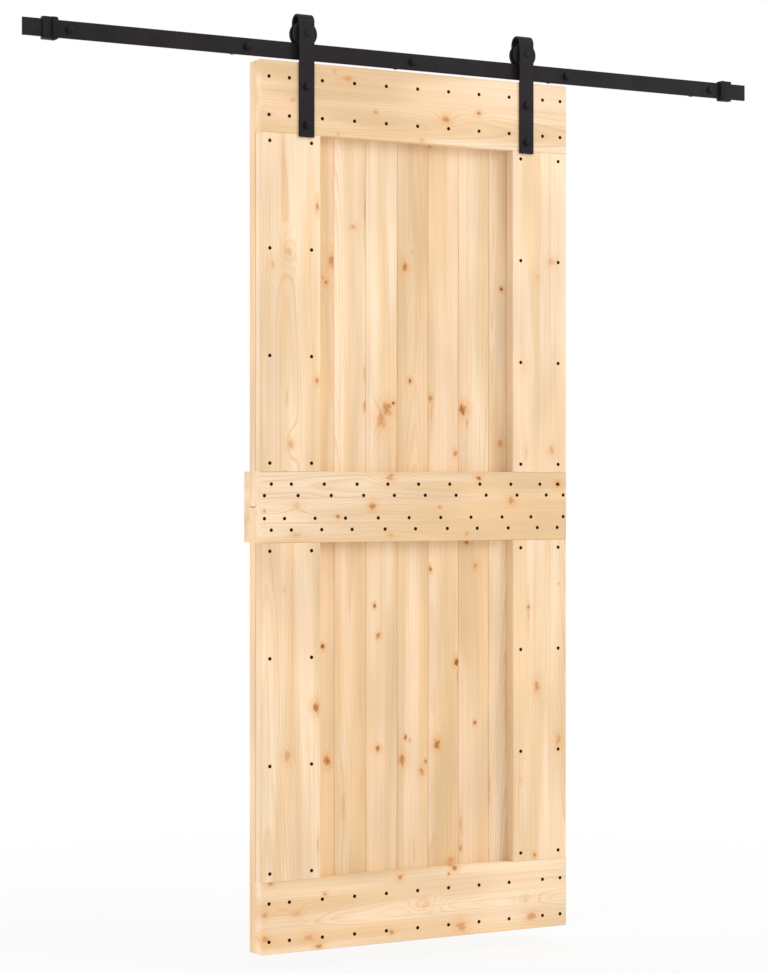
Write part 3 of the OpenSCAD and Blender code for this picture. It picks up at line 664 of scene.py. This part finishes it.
def join_surface(w, shader, colour, rough, bump):
    """Joins a colour, a roughness and a bump to a Principled shader."""
    for socket, value in (("Base Color", colour), ("Roughness", rough), ("Normal", bump.outputs[0])):
        w.tree.links.new(value, shader.inputs[socket])


def pine_place(w, middle, lengthwise):
    """Places counted from a piece's middle, turned so that the third part runs along its grain."""
    place = w.node("ShaderNodeTexCoord").outputs["Object"]
    turn = (0.0, math.radians(90.0), 0.0) if lengthwise else (0.0, 0.0, 0.0)
    inputs = {"Vector": place, "Location": middle, "Rotation": turn}
    return w.node("ShaderNodeMapping", inputs, vector_type="TEXTURE").outputs[0]


def pine_knots(w, place, knots, width, length):
    """Swell, heart and halo of all knots of a piece: swells add up, of the others the strongest counts."""
    swell, heart, halo = 0.0, 0.0, 0.0
    for across, along, radius, stretch, depth in knots:
        knot = w.use(knot_group(), {
            "Place": place,
            "Centre": ((across - 0.5) * width, 0.0, (along - 0.5) * length),
            "Reach": (radius * MM, 1.0, radius * stretch * MM),
            "Depth": depth,
        })
        swell = w.maths("ADD", swell, knot["Swell"])
        heart = w.maths("MAXIMUM", heart, knot["Heart"])
        halo = w.maths("MAXIMUM", halo, knot["Halo"])
    return swell, heart, halo


def pine_colour(w, figure, tone, heart, halo, pine):
    """Pine from its pale ground up: tints, dark rings, streaks, the shade of the fibre, and knots."""
    warm = w.maths("ADD", w.step(figure["Blush"], *BLUSH_TONE), tone)
    colour = w.mix(warm, linear(pine.earlywood), linear(pine.ruddy))
    colour = w.mix(w.step(figure["Hue"], *STRAW_SHARE), colour, linear(pine.straw))
    colour = w.mix(w.step(figure["Hue"], *ROSY_SHARE), colour, linear(pine.rosy))
    colour = w.mix(w.maths("MULTIPLY", figure["Late"], LATE_SHARE), colour, linear(pine.latewood))
    colour = w.mix(w.step(figure["Streak"], *STREAK_SHARE), colour, linear(pine.latewood))
    cloud = w.step(figure["Cloud"], *CLOUD_SHADE)
    shade = w.maths("MULTIPLY", w.step(figure["Fibre"], *FIBRE_SHADE), cloud)
    grey = w.node("ShaderNodeCombineXYZ", {0: shade, 1: shade, 2: shade}).outputs[0]
    colour = w.mix(1.0, colour, grey, "MULTIPLY")
    colour = w.mix(w.maths("MULTIPLY", halo, HALO_SHARE), colour, linear(pine.halo))
    colour = w.mix(w.step(heart, *AMBER_SHARE), colour, linear(pine.amber))
    return w.mix(w.step(heart, *DEAD_SHARE), colour, linear(pine.knot))


def pine_material(name, lengthwise, tones, rank, pine):
    """Pine for one piece: a log's figure round its middle, its knots and its tone from end to end."""
    low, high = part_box(name)
    size = high - low
    # Across a rail the turned pattern runs downwards, so its width counts the other way
    width, length = (-size.z, size.x) if lengthwise else (size.x, size.z)
    material, w, shader = new_material(f"pine_{name}")
    place = pine_place(w, (low + high) / 2, lengthwise)
    swell, heart, halo = pine_knots(w, place, KNOT_SHARES.get(name, ()), width, length)
    side = 1.0 if rank % 2 else -1.0
    figure = w.use(figure_group(), {
        "Place": place,
        "Seed": tuple(rank * stride for stride in SEED_STRIDE),
        "Pith": (spread(rank, *PITH_ACROSS), side * spread(rank, *PITH_DEPTH, step=3), 0.0),
        "Lean": (spread(rank, *LEAN_ACROSS, step=5), spread(rank, *LEAN_DEPTH, step=7), 0.0),
        "Ring width": pine.ring_width * spread(rank, *RING_SPREAD, step=4),
        "Swell": swell,
    })
    through, along = w.parts(place)[1:]
    half = length / 2
    tone = w.step(along, -half, half, *tones)
    if name in END_GRAIN_TONES:
        from_middle = w.maths("ABSOLUTE", along)
        sawn = w.step(from_middle, half - END_GRAIN_DEPTH, half, 0.0, END_GRAIN_TONES[name])
        tone = w.maths("ADD", tone, sawn)
    colour = pine_colour(w, figure, tone, heart, halo, pine)
    # Painted shade: a dark line in the dead knot colour along a left stile's back edge, for the shadow in
    # its joint with the panel
    if name in LEFT_STILES:
        joint_shade = w.step(through, JOINT_SHADE_STARTS * size.y, JOINT_SHADE_FULL * size.y, 0.0, JOINT_SHADE_SHARE)
        colour = w.mix(joint_shade, colour, linear(pine.knot))
    is_bounce = w.node("ShaderNodeLightPath").outputs["Is Diffuse Ray"]
    colour = w.mix(w.maths("MULTIPLY", is_bounce, BOUNCE_SHARE), colour, linear(BOUNCE_COLOUR))
    rough = w.maths("MULTIPLY_ADD", figure["Late"], LATE_POLISH, w.step(figure["Fibre"], *FIBRE_ROUGH))
    fibre = w.maths("MULTIPLY", figure["Fibre"], FIBRE_RELIEF)
    relief = w.maths("ADD", w.maths("MULTIPLY", figure["Late"], LATE_RELIEF), fibre)
    relief = w.maths("SUBTRACT", relief, w.maths("MULTIPLY", heart, HEART_RELIEF))
    bump = w.node("ShaderNodeBump", {"Strength": PINE_BUMP, "Distance": PINE_RELIEF, "Height": relief})
    join_surface(w, shader, colour, rough, bump)
    shader.inputs["Specular IOR Level"].default_value = PINE_SPECULAR
    return material


def coated_material(name, colour, cells, rough, relief, metallic=0.0):
    """A coated, moulded or plated finish: one colour with faint patches, uneven gloss and a fine bump."""
    material, w, shader = new_material(name)
    place = w.node("ShaderNodeTexCoord").outputs["Object"]
    skin = w.use(skin_group(), {"Place": place, "Cells": cells})
    base = linear(colour)
    pale = (*(min(1.0, PATCH_GAIN * part) for part in base[:3]), 1.0)
    tint = w.mix(w.step(skin["Patch"], *PATCH_SHARE), base, pale)
    patchy = w.step(skin["Patch"], PATCH_STARTS, PATCH_ENDS, rough - PATCH_ROUGH, rough + PATCH_ROUGH)
    gloss = w.maths("ADD", patchy, w.maths("MULTIPLY", skin["Grain"], GRAIN_ROUGH))
    bump = w.node("ShaderNodeBump", {"Strength": COAT_BUMP, "Distance": relief, "Height": skin["Grain"]})
    join_surface(w, shader, tint, gloss, bump)
    shader.inputs["Metallic"].default_value = metallic
    shader.inputs["Specular IOR Level"].default_value = COAT_SPECULAR
    return material


def floor_material():
    """A pale floor that keeps the shadow near the door and is seen as white further off."""
    material, w, shader = new_material("pale_floor")
    shader.inputs["Base Color"].default_value = FLOOR_COLOUR
    shader.inputs["Roughness"].default_value = FLOOR_ROUGH
    shader.inputs["Specular IOR Level"].default_value = FLOOR_SPECULAR
    place = w.node("ShaderNodeTexCoord").outputs["Object"]
    distance = w.vector("LENGTH", w.vector("MULTIPLY", place, (1.0, 1.0, 0.0)))
    share = w.maths("MULTIPLY", seen_straight(w), w.step(distance, *FLOOR_WHITE))
    glow = w.node("ShaderNodeEmission", {"Color": WHITE, "Strength": 1.0})
    blend = w.node("ShaderNodeMixShader", {0: share, 1: shader.outputs[0], 2: glow.outputs[0]})
    w.tree.links.new(blend.outputs[0], w.tree.nodes["Material Output"].inputs["Surface"])
    return material


def dress(names, material):
    """Gives CAD nodes a finish, in the slots that they have."""
    for name in names:
        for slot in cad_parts[name].material_slots:
            slot.material = material


# Turned and stacked shapes


def end_points(name):
    """The points of a CAD node that lie nearest the wall, as places along the track and levels."""
    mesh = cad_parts[name].data
    points = np.empty(len(mesh.vertices) * 3, np.float32)
    mesh.vertices.foreach_get("co", points)
    points = points.reshape(-1, 3).astype(float)
    return points[points[:, 1] > points[:, 1].max() - FLAT][:, [0, 2]]


def groups_of(values, gap):
    """The middles of the runs of values that lie closer together than gap."""
    ordered = np.unique(values)
    cuts = np.flatnonzero(np.diff(ordered) > gap)
    starts = np.concatenate(([0], cuts + 1))
    ends = np.concatenate((cuts, [len(ordered) - 1]))
    return (ordered[starts] + ordered[ends]) / 2


def rod_places(name):
    """Where a node's rods end towards the wall: every pair of their places along the track and levels."""
    ends = end_points(name)
    along, level = np.meshgrid(groups_of(ends[:, 0], ROD_GAP), groups_of(ends[:, 1], ROD_GAP))
    return np.stack((along.ravel(), level.ravel()), axis=1)


def tip_places(name):
    """Where a node's pointed screws end: the separate points that lie nearest the wall."""
    return np.unique(np.round(end_points(name), PLACE_DIGITS), axis=0)


def stacked(name, outlines, levels, ends, places, turns=0.0):
    """Copies of a closed shape made of outlines stacked along the depth, with a point at each end.

    outlines holds (rings, corners, 2) offsets along the track and up, levels the depth of each ring, and
    ends the depths of the two closing points. Each copy is turned about its axis and set at its place."""
    rings, corners = outlines.shape[:2]
    count = len(places)
    turns = np.broadcast_to(turns, (count,))
    cos, sin = np.cos(turns)[:, None, None], np.sin(turns)[:, None, None]
    across = places[:, 0, None, None] + cos * outlines[..., 0] - sin * outlines[..., 1]
    level = places[:, 1, None, None] + sin * outlines[..., 0] + cos * outlines[..., 1]
    depth = np.broadcast_to(np.asarray(levels)[None, :, None], across.shape)
    body = np.stack((across, depth, level), axis=-1).reshape(count, rings * corners, 3)
    poles = np.repeat(places[:, None, [0, 0, 1]], 2, axis=1)
    poles[:, :, 1] = ends
    points = np.concatenate((body, poles), axis=1).reshape(-1, 3)
    grid = np.arange(rings * corners).reshape(rings, corners)
    beside = np.roll(grid, -1, axis=1)
    walls = np.stack((grid[:-1], grid[1:], beside[1:], beside[:-1]), axis=-1).reshape(-1, 4)
    first = np.stack((grid[0], beside[0], np.full(corners, rings * corners)), axis=-1)
    last = np.stack((beside[-1], grid[-1], np.full(corners, rings * corners + 1)), axis=-1)
    shift = (np.arange(count) * (rings * corners + 2))[:, None, None]
    quads = (walls[None] + shift).reshape(-1, 4)
    fans = (np.concatenate((first, last))[None] + shift).reshape(-1, 3)
    mesh = bpy.data.meshes.new(name)
    mesh.from_pydata(points.tolist(), [], quads.tolist() + fans.tolist())
    mesh.polygons.foreach_set("use_smooth", np.ones(len(mesh.polygons), bool))
    mesh.set_sharp_from_angle(angle=SHARP_ANGLE)
    mesh.update()
    piece = bpy.data.objects.new(name, mesh)
    bpy.context.scene.collection.objects.link(piece)
    return piece


def lathe(radii, angles):
    """Outlines of a turned shape: radii holds a radius for each ring and corner, or one for each ring."""
    radii = np.broadcast_to(radii, (len(radii), len(angles)))
    return np.stack((radii * np.cos(angles), radii * np.sin(angles)), axis=-1)


def hexagon_radii(flats):
    """Distance from the axis to a hexagon's edge: half the flats over the cosine from a flat's middle."""
    return flats / 2 / np.cos(np.mod(ANGLES, math.pi / 3) - math.pi / 6)


def threaded_end(start, end, pitch, core, crest, tip_share, tip_length):
    """Depths of a bolt's threaded rings and their radii at each angle.

    The radius rises from core to crest and falls again once in each pitch, one pitch on for each turn. The
    groove deepens over the first turns, and the tip narrows."""
    depth = np.arange(start, end, pitch / THREAD_RINGS)
    phase = np.mod(depth[:, None] / pitch - ANGLES / FULL_TURN, 1.0)
    ridge = np.clip(RIDGE_GAIN * (1 - np.abs(2 * phase - 1)) - RIDGE_DROP, 0, 1)
    fade = np.clip((depth - start) / (RUN_IN_TURNS * pitch), 0, 1)
    radii = core + (crest - core) * (1 - fade[:, None] * (1 - ridge))
    narrowing = 1 - tip_share * (1 - np.clip((end - depth) / tip_length, 0, 1))
    return depth, radii * narrowing[:, None]


def hexagon_bolt(front, seat, thread_start, end, pitch, core, crest=BOLT_R):
    """Outlines and levels of a hexagon-head bolt: a crowned hexagon, a plain shank and a thread.

    The hexagon's corners are cut by a cone, so a ring's radius is the lesser of the two."""
    hexagon = hexagon_radii(BOLT_FLATS)
    crown = CROWN_SHARE * BOLT_FLATS
    drop = np.linspace(0, (hexagon.max() - crown) * CROWN_SLOPE, CROWN_RINGS)
    top = np.minimum(crown + drop[:, None] / CROWN_SLOPE, hexagon)
    shank = np.full(CORNERS, BOLT_R)
    depth, thread = threaded_end(thread_start, end, pitch, core, crest, **HEXAGON_TIP)
    radii = np.concatenate((top, np.stack((hexagon, shank, shank)), thread))
    levels = np.concatenate((front + drop, (seat, seat, thread_start - HEXAGON_STEP), depth))
    return lathe(radii, ANGLES), levels


def domed_bolt(front, seat, thread_start, end, pitch, core):
    """Outlines and levels of a domed bolt: a quarter of an ellipse turned, a plain shank and a thread."""
    rise = np.linspace(DOME_STARTS, 1.0, DOME_RINGS) * math.pi / 2
    plain = np.concatenate((DOME_R * np.sin(rise), (BOLT_R, BOLT_R)))
    fall = front + (seat - front) * (1 - np.cos(rise))
    depth, thread = threaded_end(thread_start, end, pitch, core, BOLT_R, **DOME_TIP)
    radii = np.concatenate((np.repeat(plain[:, None], CORNERS, axis=1), thread))
    levels = np.concatenate((fall, (seat, thread_start - DOME_STEP), depth))
    return lathe(radii, ANGLES), levels


def cross_outline(arm, half):
    """A cross: three corners of one arm turned by right angles, with a point in each edge's middle."""
    quarter = np.array(((arm, -half), (arm, half), (half, half)))
    turn = np.array(((0, -1), (1, 0)))
    cross = np.concatenate([quarter @ np.linalg.matrix_power(turn, k).T for k in range(4)])
    middles = (cross + np.roll(cross, -1, axis=0)) / 2
    return np.stack((cross, middles), axis=1).reshape(-1, 2)


def settled(piece, body, material, node):
    """Finishes a new piece: its material, its body and the node that it stands for, which it hides."""
    piece.data.materials.append(material)
    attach(piece, body)
    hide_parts(node)


# Operators


class DOOR_OT_panel_boards(bpy.types.Operator):
    """Gives each panel board its own pine"""

    bl_idname = "sliding_door.panel_boards"
    bl_label = "Panel boards"

    def execute(self, context):
        pine = context.scene.sliding_door.pine
        for rank, name in enumerate(BOARDS, start=1):
            row, number = name.split("_")[1:]
            tone = BOARD_TONE_SHARES[row][int(number) - 1]
            dress([name], pine_material(name, False, (tone, tone), rank, pine))
        return {"FINISHED"}


class DOOR_OT_front_frame(bpy.types.Operator):
    """Gives each stile and rail its own pine, with the grain along it"""

    bl_idname = "sliding_door.front_frame"
    bl_label = "Stiles and rails"

    def execute(self, context):
        pine = context.scene.sliding_door.pine
        for rank, name in enumerate((*STILES, *RAILS), start=len(BOARDS) + 1):
            dress([name], pine_material(name, name in RAILS, FRAME_TONE_SHARES[name], rank, pine))
        return {"FINISHED"}


class DOOR_OT_wood_screws(bpy.types.Operator):
    """Makes the countersunk screws with their cross recess"""

    bl_idname = "sliding_door.wood_screws"
    bl_label = "Wood screws"

    head_r: bpy.props.FloatProperty(
        name="Head radius", description="Radius of a head", unit="LENGTH", default=4.35 * MM,
    )
    shank_r: bpy.props.FloatProperty(
        name="Shank radius", description="Radius of a shank", unit="LENGTH", default=2.4 * MM,
    )
    recess: bpy.props.FloatProperty(
        name="Recess depth", description="Depth of the cross", unit="LENGTH", default=2.2 * MM,
    )

    def execute(self, context):
        steel = context.scene.sliding_door.steel
        material = coated_material("black_screw", steel.burnt, **SCREW_FINISH)
        cross = cross_outline(CROSS_ARM * self.head_r, CROSS_HALF * self.head_r)
        angles = np.arctan2(cross[:, 1], cross[:, 0])
        radii = np.array((self.head_r, self.head_r, self.shank_r, self.shank_r))
        outlines = np.concatenate((np.stack((CROSS_FLOOR * cross, cross)), lathe(radii[:, None], angles)))
        for name in SCREW_NODES:
            low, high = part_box(name)
            head, point = low.y, high.y
            floor = head + self.recess
            neck = head + self.head_r - self.shank_r
            levels = (floor, head, head, head + HEAD_EDGE, neck, point - TIP_TAPER * self.shank_r)
            places = tip_places(name)
            turns = np.arange(len(places)) * FULL_TURN * GOLDEN
            piece = stacked(f"{name}_crossed", outlines, levels, (floor, point), places, turns)
            settled(piece, "door", material, name)
        return {"FINISHED"}


class DOOR_OT_hangers(bpy.types.Operator):
    """Coats the straps, plates their nuts, washers and bushes with zinc and makes their bolts, threaded at
    the back
    """

    bl_idname = "sliding_door.hangers"
    bl_label = "Hangers and bolts"

    def execute(self, context):
        steel = context.scene.sliding_door.steel
        coat = coated_material("powder_coat", steel.coat, **POWDER_FINISH)
        zinc = coated_material("zinc_plate", steel.zinc, **ZINC_FINISH)
        dress(("hanger_left", "hanger_right"), coat)
        dress(("hanger_washers", "hanger_nuts", "axle_nuts", "axle_bushes"), zinc)
        blackened = coated_material("blackened_bolt", steel.blackened, **BOLT_FINISH)
        self.hanger_bolts(steel.bolt_pitch, blackened)
        self.axle_bolts(steel.bolt_pitch, blackened)
        return {"FINISHED"}

    def hanger_bolts(self, pitch, material):
        """Hexagon bolts that hold the straps, threaded from just before their nuts."""
        low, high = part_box("hanger_bolts")
        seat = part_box("hanger_left")[0].y
        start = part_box("hanger_nuts")[0].y - HANGER_THREAD_LEAD
        outlines, levels = hexagon_bolt(low.y, seat, start, high.y, pitch, HANGER_CORE_R)
        places = rod_places("hanger_bolts")
        piece = stacked("hanger_bolts_threaded", outlines, levels, (low.y, high.y), places)
        settled(piece, "door", material, "hanger_bolts")

    def axle_bolts(self, pitch, material):
        """Domed bolts that the wheels turn on, threaded from just before their nuts."""
        low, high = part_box("axle_bolts")
        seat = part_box("hanger_left")[0].y
        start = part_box("axle_nuts")[0].y - AXLE_THREAD_LEAD
        outlines, levels = domed_bolt(low.y, seat, start, high.y, pitch, AXLE_CORE_R)
        places = rod_places("axle_bolts")
        piece = stacked("axle_bolts_threaded", outlines, levels, (low.y, high.y), places)
        settled(piece, "door", material, "axle_bolts")


class DOOR_OT_wheels(bpy.types.Operator):
    """Finishes the nylon wheels and their bearings"""

    bl_idname = "sliding_door.wheels"
    bl_label = "Wheels and bearings"

    def execute(self, context):
        steel = context.scene.sliding_door.steel
        nylon = coated_material("nylon", steel.nylon, **NYLON_FINISH)
        bearing = coated_material("bearing_steel", steel.zinc, **BEARING_FINISH)
        dress(("wheel_left", "wheel_right"), nylon)
        dress(("bearing_outer_left", "bearing_outer_right"), bearing)
        dress(("bearing_inner_rings", "bearing_balls"), bearing)
        return {"FINISHED"}


class DOOR_OT_track(bpy.types.Operator):
    """Coats the track and its spacers and makes the wall bolts with their threaded ends"""

    bl_idname = "sliding_door.track"
    bl_label = "Track and wall bolts"

    def execute(self, context):
        steel = context.scene.sliding_door.steel
        coat = coated_material("track_coat", steel.coat, **POWDER_FINISH)
        blackened = coated_material("blackened_wall_bolt", steel.blackened, **BOLT_FINISH)
        dress(("track_bar", "track_spacers"), coat)
        low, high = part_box("wall_bolts")
        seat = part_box("track_bar")[0].y
        wall = 0.0
        outlines, levels = hexagon_bolt(
            low.y, seat, wall, high.y, steel.bolt_pitch, WALL_CORE_R, WALL_CREST_R,
        )
        places = rod_places("wall_bolts")
        piece = stacked("wall_bolts_threaded", outlines, levels, (low.y, high.y), places)
        settled(piece, "track", blackened, "wall_bolts")
        return {"FINISHED"}


class DOOR_OT_stops(bpy.types.Operator):
    """Finishes the end stops: coated clamps, rubber noses and socket set screws"""

    bl_idname = "sliding_door.stops"
    bl_label = "End stops"

    def execute(self, context):
        steel = context.scene.sliding_door.steel
        coat = coated_material("stop_coat", steel.coat, **POWDER_FINISH)
        rubber = coated_material("rubber", steel.rubber, **RUBBER_FINISH)
        zinc = coated_material("set_screw_zinc", steel.zinc, **ZINC_FINISH)
        dress(("stop_clamp_left", "stop_clamp_right"), coat)
        dress(("stop_nose_left", "stop_nose_right"), rubber)
        low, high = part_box("stop_screws")
        rod = np.full(CORNERS, SET_SCREW_R)
        socket = hexagon_radii(SOCKET_FLATS)
        outlines = lathe(np.stack((rod, rod, SET_SCREW_FACE * rod, socket, socket)), ANGLES)
        floor = high.y - SOCKET_DEPTH
        levels = (low.y, high.y - SET_SCREW_BEVEL, high.y, high.y, floor)
        places = rod_places("stop_screws")
        piece = stacked("stop_screws_socketed", outlines, levels, (low.y, floor), places)
        settled(piece, "track", zinc, "stop_screws")
        return {"FINISHED"}


class DOOR_OT_stage(bpy.types.Operator):
    """Makes the camera, the pale floor, the lamps and the white surround"""

    bl_idname = "sliding_door.stage"
    bl_label = "Stage"

    def execute(self, context):
        scene = context.scene
        stage = scene.sliding_door.stage
        self.camera(scene, stage)
        self.floor(scene, CAD_LOW.z - stage.floor_gap)
        self.lamp(scene, "key_lamp", KEY_PLACE, KEY_SIZE, stage.key_power)
        self.lamp(scene, "fill_lamp", FILL_PLACE, FILL_SIZE, stage.fill_power)
        self.surround(scene, stage.sky_level)
        scene.view_settings.view_transform = "Standard"
        return {"FINISHED"}

    def camera(self, scene, stage):
        """A level camera, turned from the door's normal."""
        lens = bpy.data.cameras.new("camera")
        lens.lens = stage.lens
        lens.shift_x, lens.shift_y = stage.lens_shift
        camera = bpy.data.objects.new("camera", lens)
        camera.location = stage.camera_place
        camera.rotation_euler = (math.radians(90.0), 0.0, -stage.camera_yaw)
        scene.collection.objects.link(camera)
        scene.camera = camera

    def floor(self, scene, level):
        """A level grid under the leaf: the two parameters run along X and Y."""
        line = np.linspace(-FLOOR_HALF, FLOOR_HALF, FLOOR_STEPS + 1)
        x, y = np.meshgrid(line, line)
        points = np.stack((x, y, np.full_like(x, level)), axis=-1).reshape(-1, 3)
        grid = np.arange(x.size).reshape(x.shape)
        faces = np.stack((grid[:-1, :-1], grid[:-1, 1:], grid[1:, 1:], grid[1:, :-1]), axis=-1)
        mesh = bpy.data.meshes.new("floor")
        mesh.from_pydata(points.tolist(), [], faces.reshape(-1, 4).tolist())
        mesh.materials.append(floor_material())
        floor = bpy.data.objects.new("floor", mesh)
        scene.collection.objects.link(floor)

    def lamp(self, scene, name, place, size, power):
        """A square lamp that faces the middle of the door."""
        aim = (CAD_LOW + CAD_HIGH) / 2
        light = bpy.data.lights.new(name, "AREA")
        light.shape = "SQUARE"
        light.size = size
        light.energy = power
        lamp = bpy.data.objects.new(name, light)
        lamp.location = place
        lamp.rotation_euler = (aim - Vector(place)).to_track_quat("-Z", "Y").to_euler()
        scene.collection.objects.link(lamp)

    def surround(self, scene, sky_level):
        """Soft light from all round, which is seen as white."""
        world = bpy.data.worlds.new("surround")
        world.use_nodes = True
        world.node_tree.nodes.clear()
        w = Wiring(world.node_tree)
        level = w.maths("MULTIPLY_ADD", seen_straight(w), 1.0 - sky_level, sky_level)
        sky = w.node("ShaderNodeBackground", {"Color": WHITE, "Strength": level})
        w.node("ShaderNodeOutputWorld", {"Surface": sky.outputs[0]})
        scene.world = world


OPERATORS = (
    DOOR_OT_panel_boards,
    DOOR_OT_front_frame,
    DOOR_OT_wood_screws,
    DOOR_OT_hangers,
    DOOR_OT_wheels,
    DOOR_OT_track,
    DOOR_OT_stops,
    DOOR_OT_stage,
)


class DOOR_PT_sidebar(bpy.types.Panel):
    """Lists the steps that dress the door"""

    bl_idname = "DOOR_PT_sidebar"
    bl_label = "Sliding Door"
    bl_space_type = "VIEW_3D"
    bl_region_type = "UI"
    bl_category = "Sliding Door"

    def draw(self, context):
        for operator in OPERATORS:
            self.layout.operator(operator.bl_idname)


CLASSES = (PineSettings, SteelSettings, StageSettings, DoorSettings, *OPERATORS, DOOR_PT_sidebar)


def register():
    """Makes the classes and the door's settings known to Blender."""
    for cls in CLASSES:
        bpy.utils.register_class(cls)
    bpy.types.Scene.sliding_door = bpy.props.PointerProperty(type=DoorSettings)


def unregister():
    """Takes them away again."""
    del bpy.types.Scene.sliding_door
    for cls in reversed(CLASSES):
        bpy.utils.unregister_class(cls)


def main():
    """Dresses the door step by step."""
    register()
    bpy.ops.sliding_door.panel_boards()
    bpy.ops.sliding_door.front_frame()
    bpy.ops.sliding_door.wood_screws()
    bpy.ops.sliding_door.hangers()
    bpy.ops.sliding_door.wheels()
    bpy.ops.sliding_door.track()
    bpy.ops.sliding_door.stops()
    bpy.ops.sliding_door.stage()


if __name__ == "__main__":
    main()
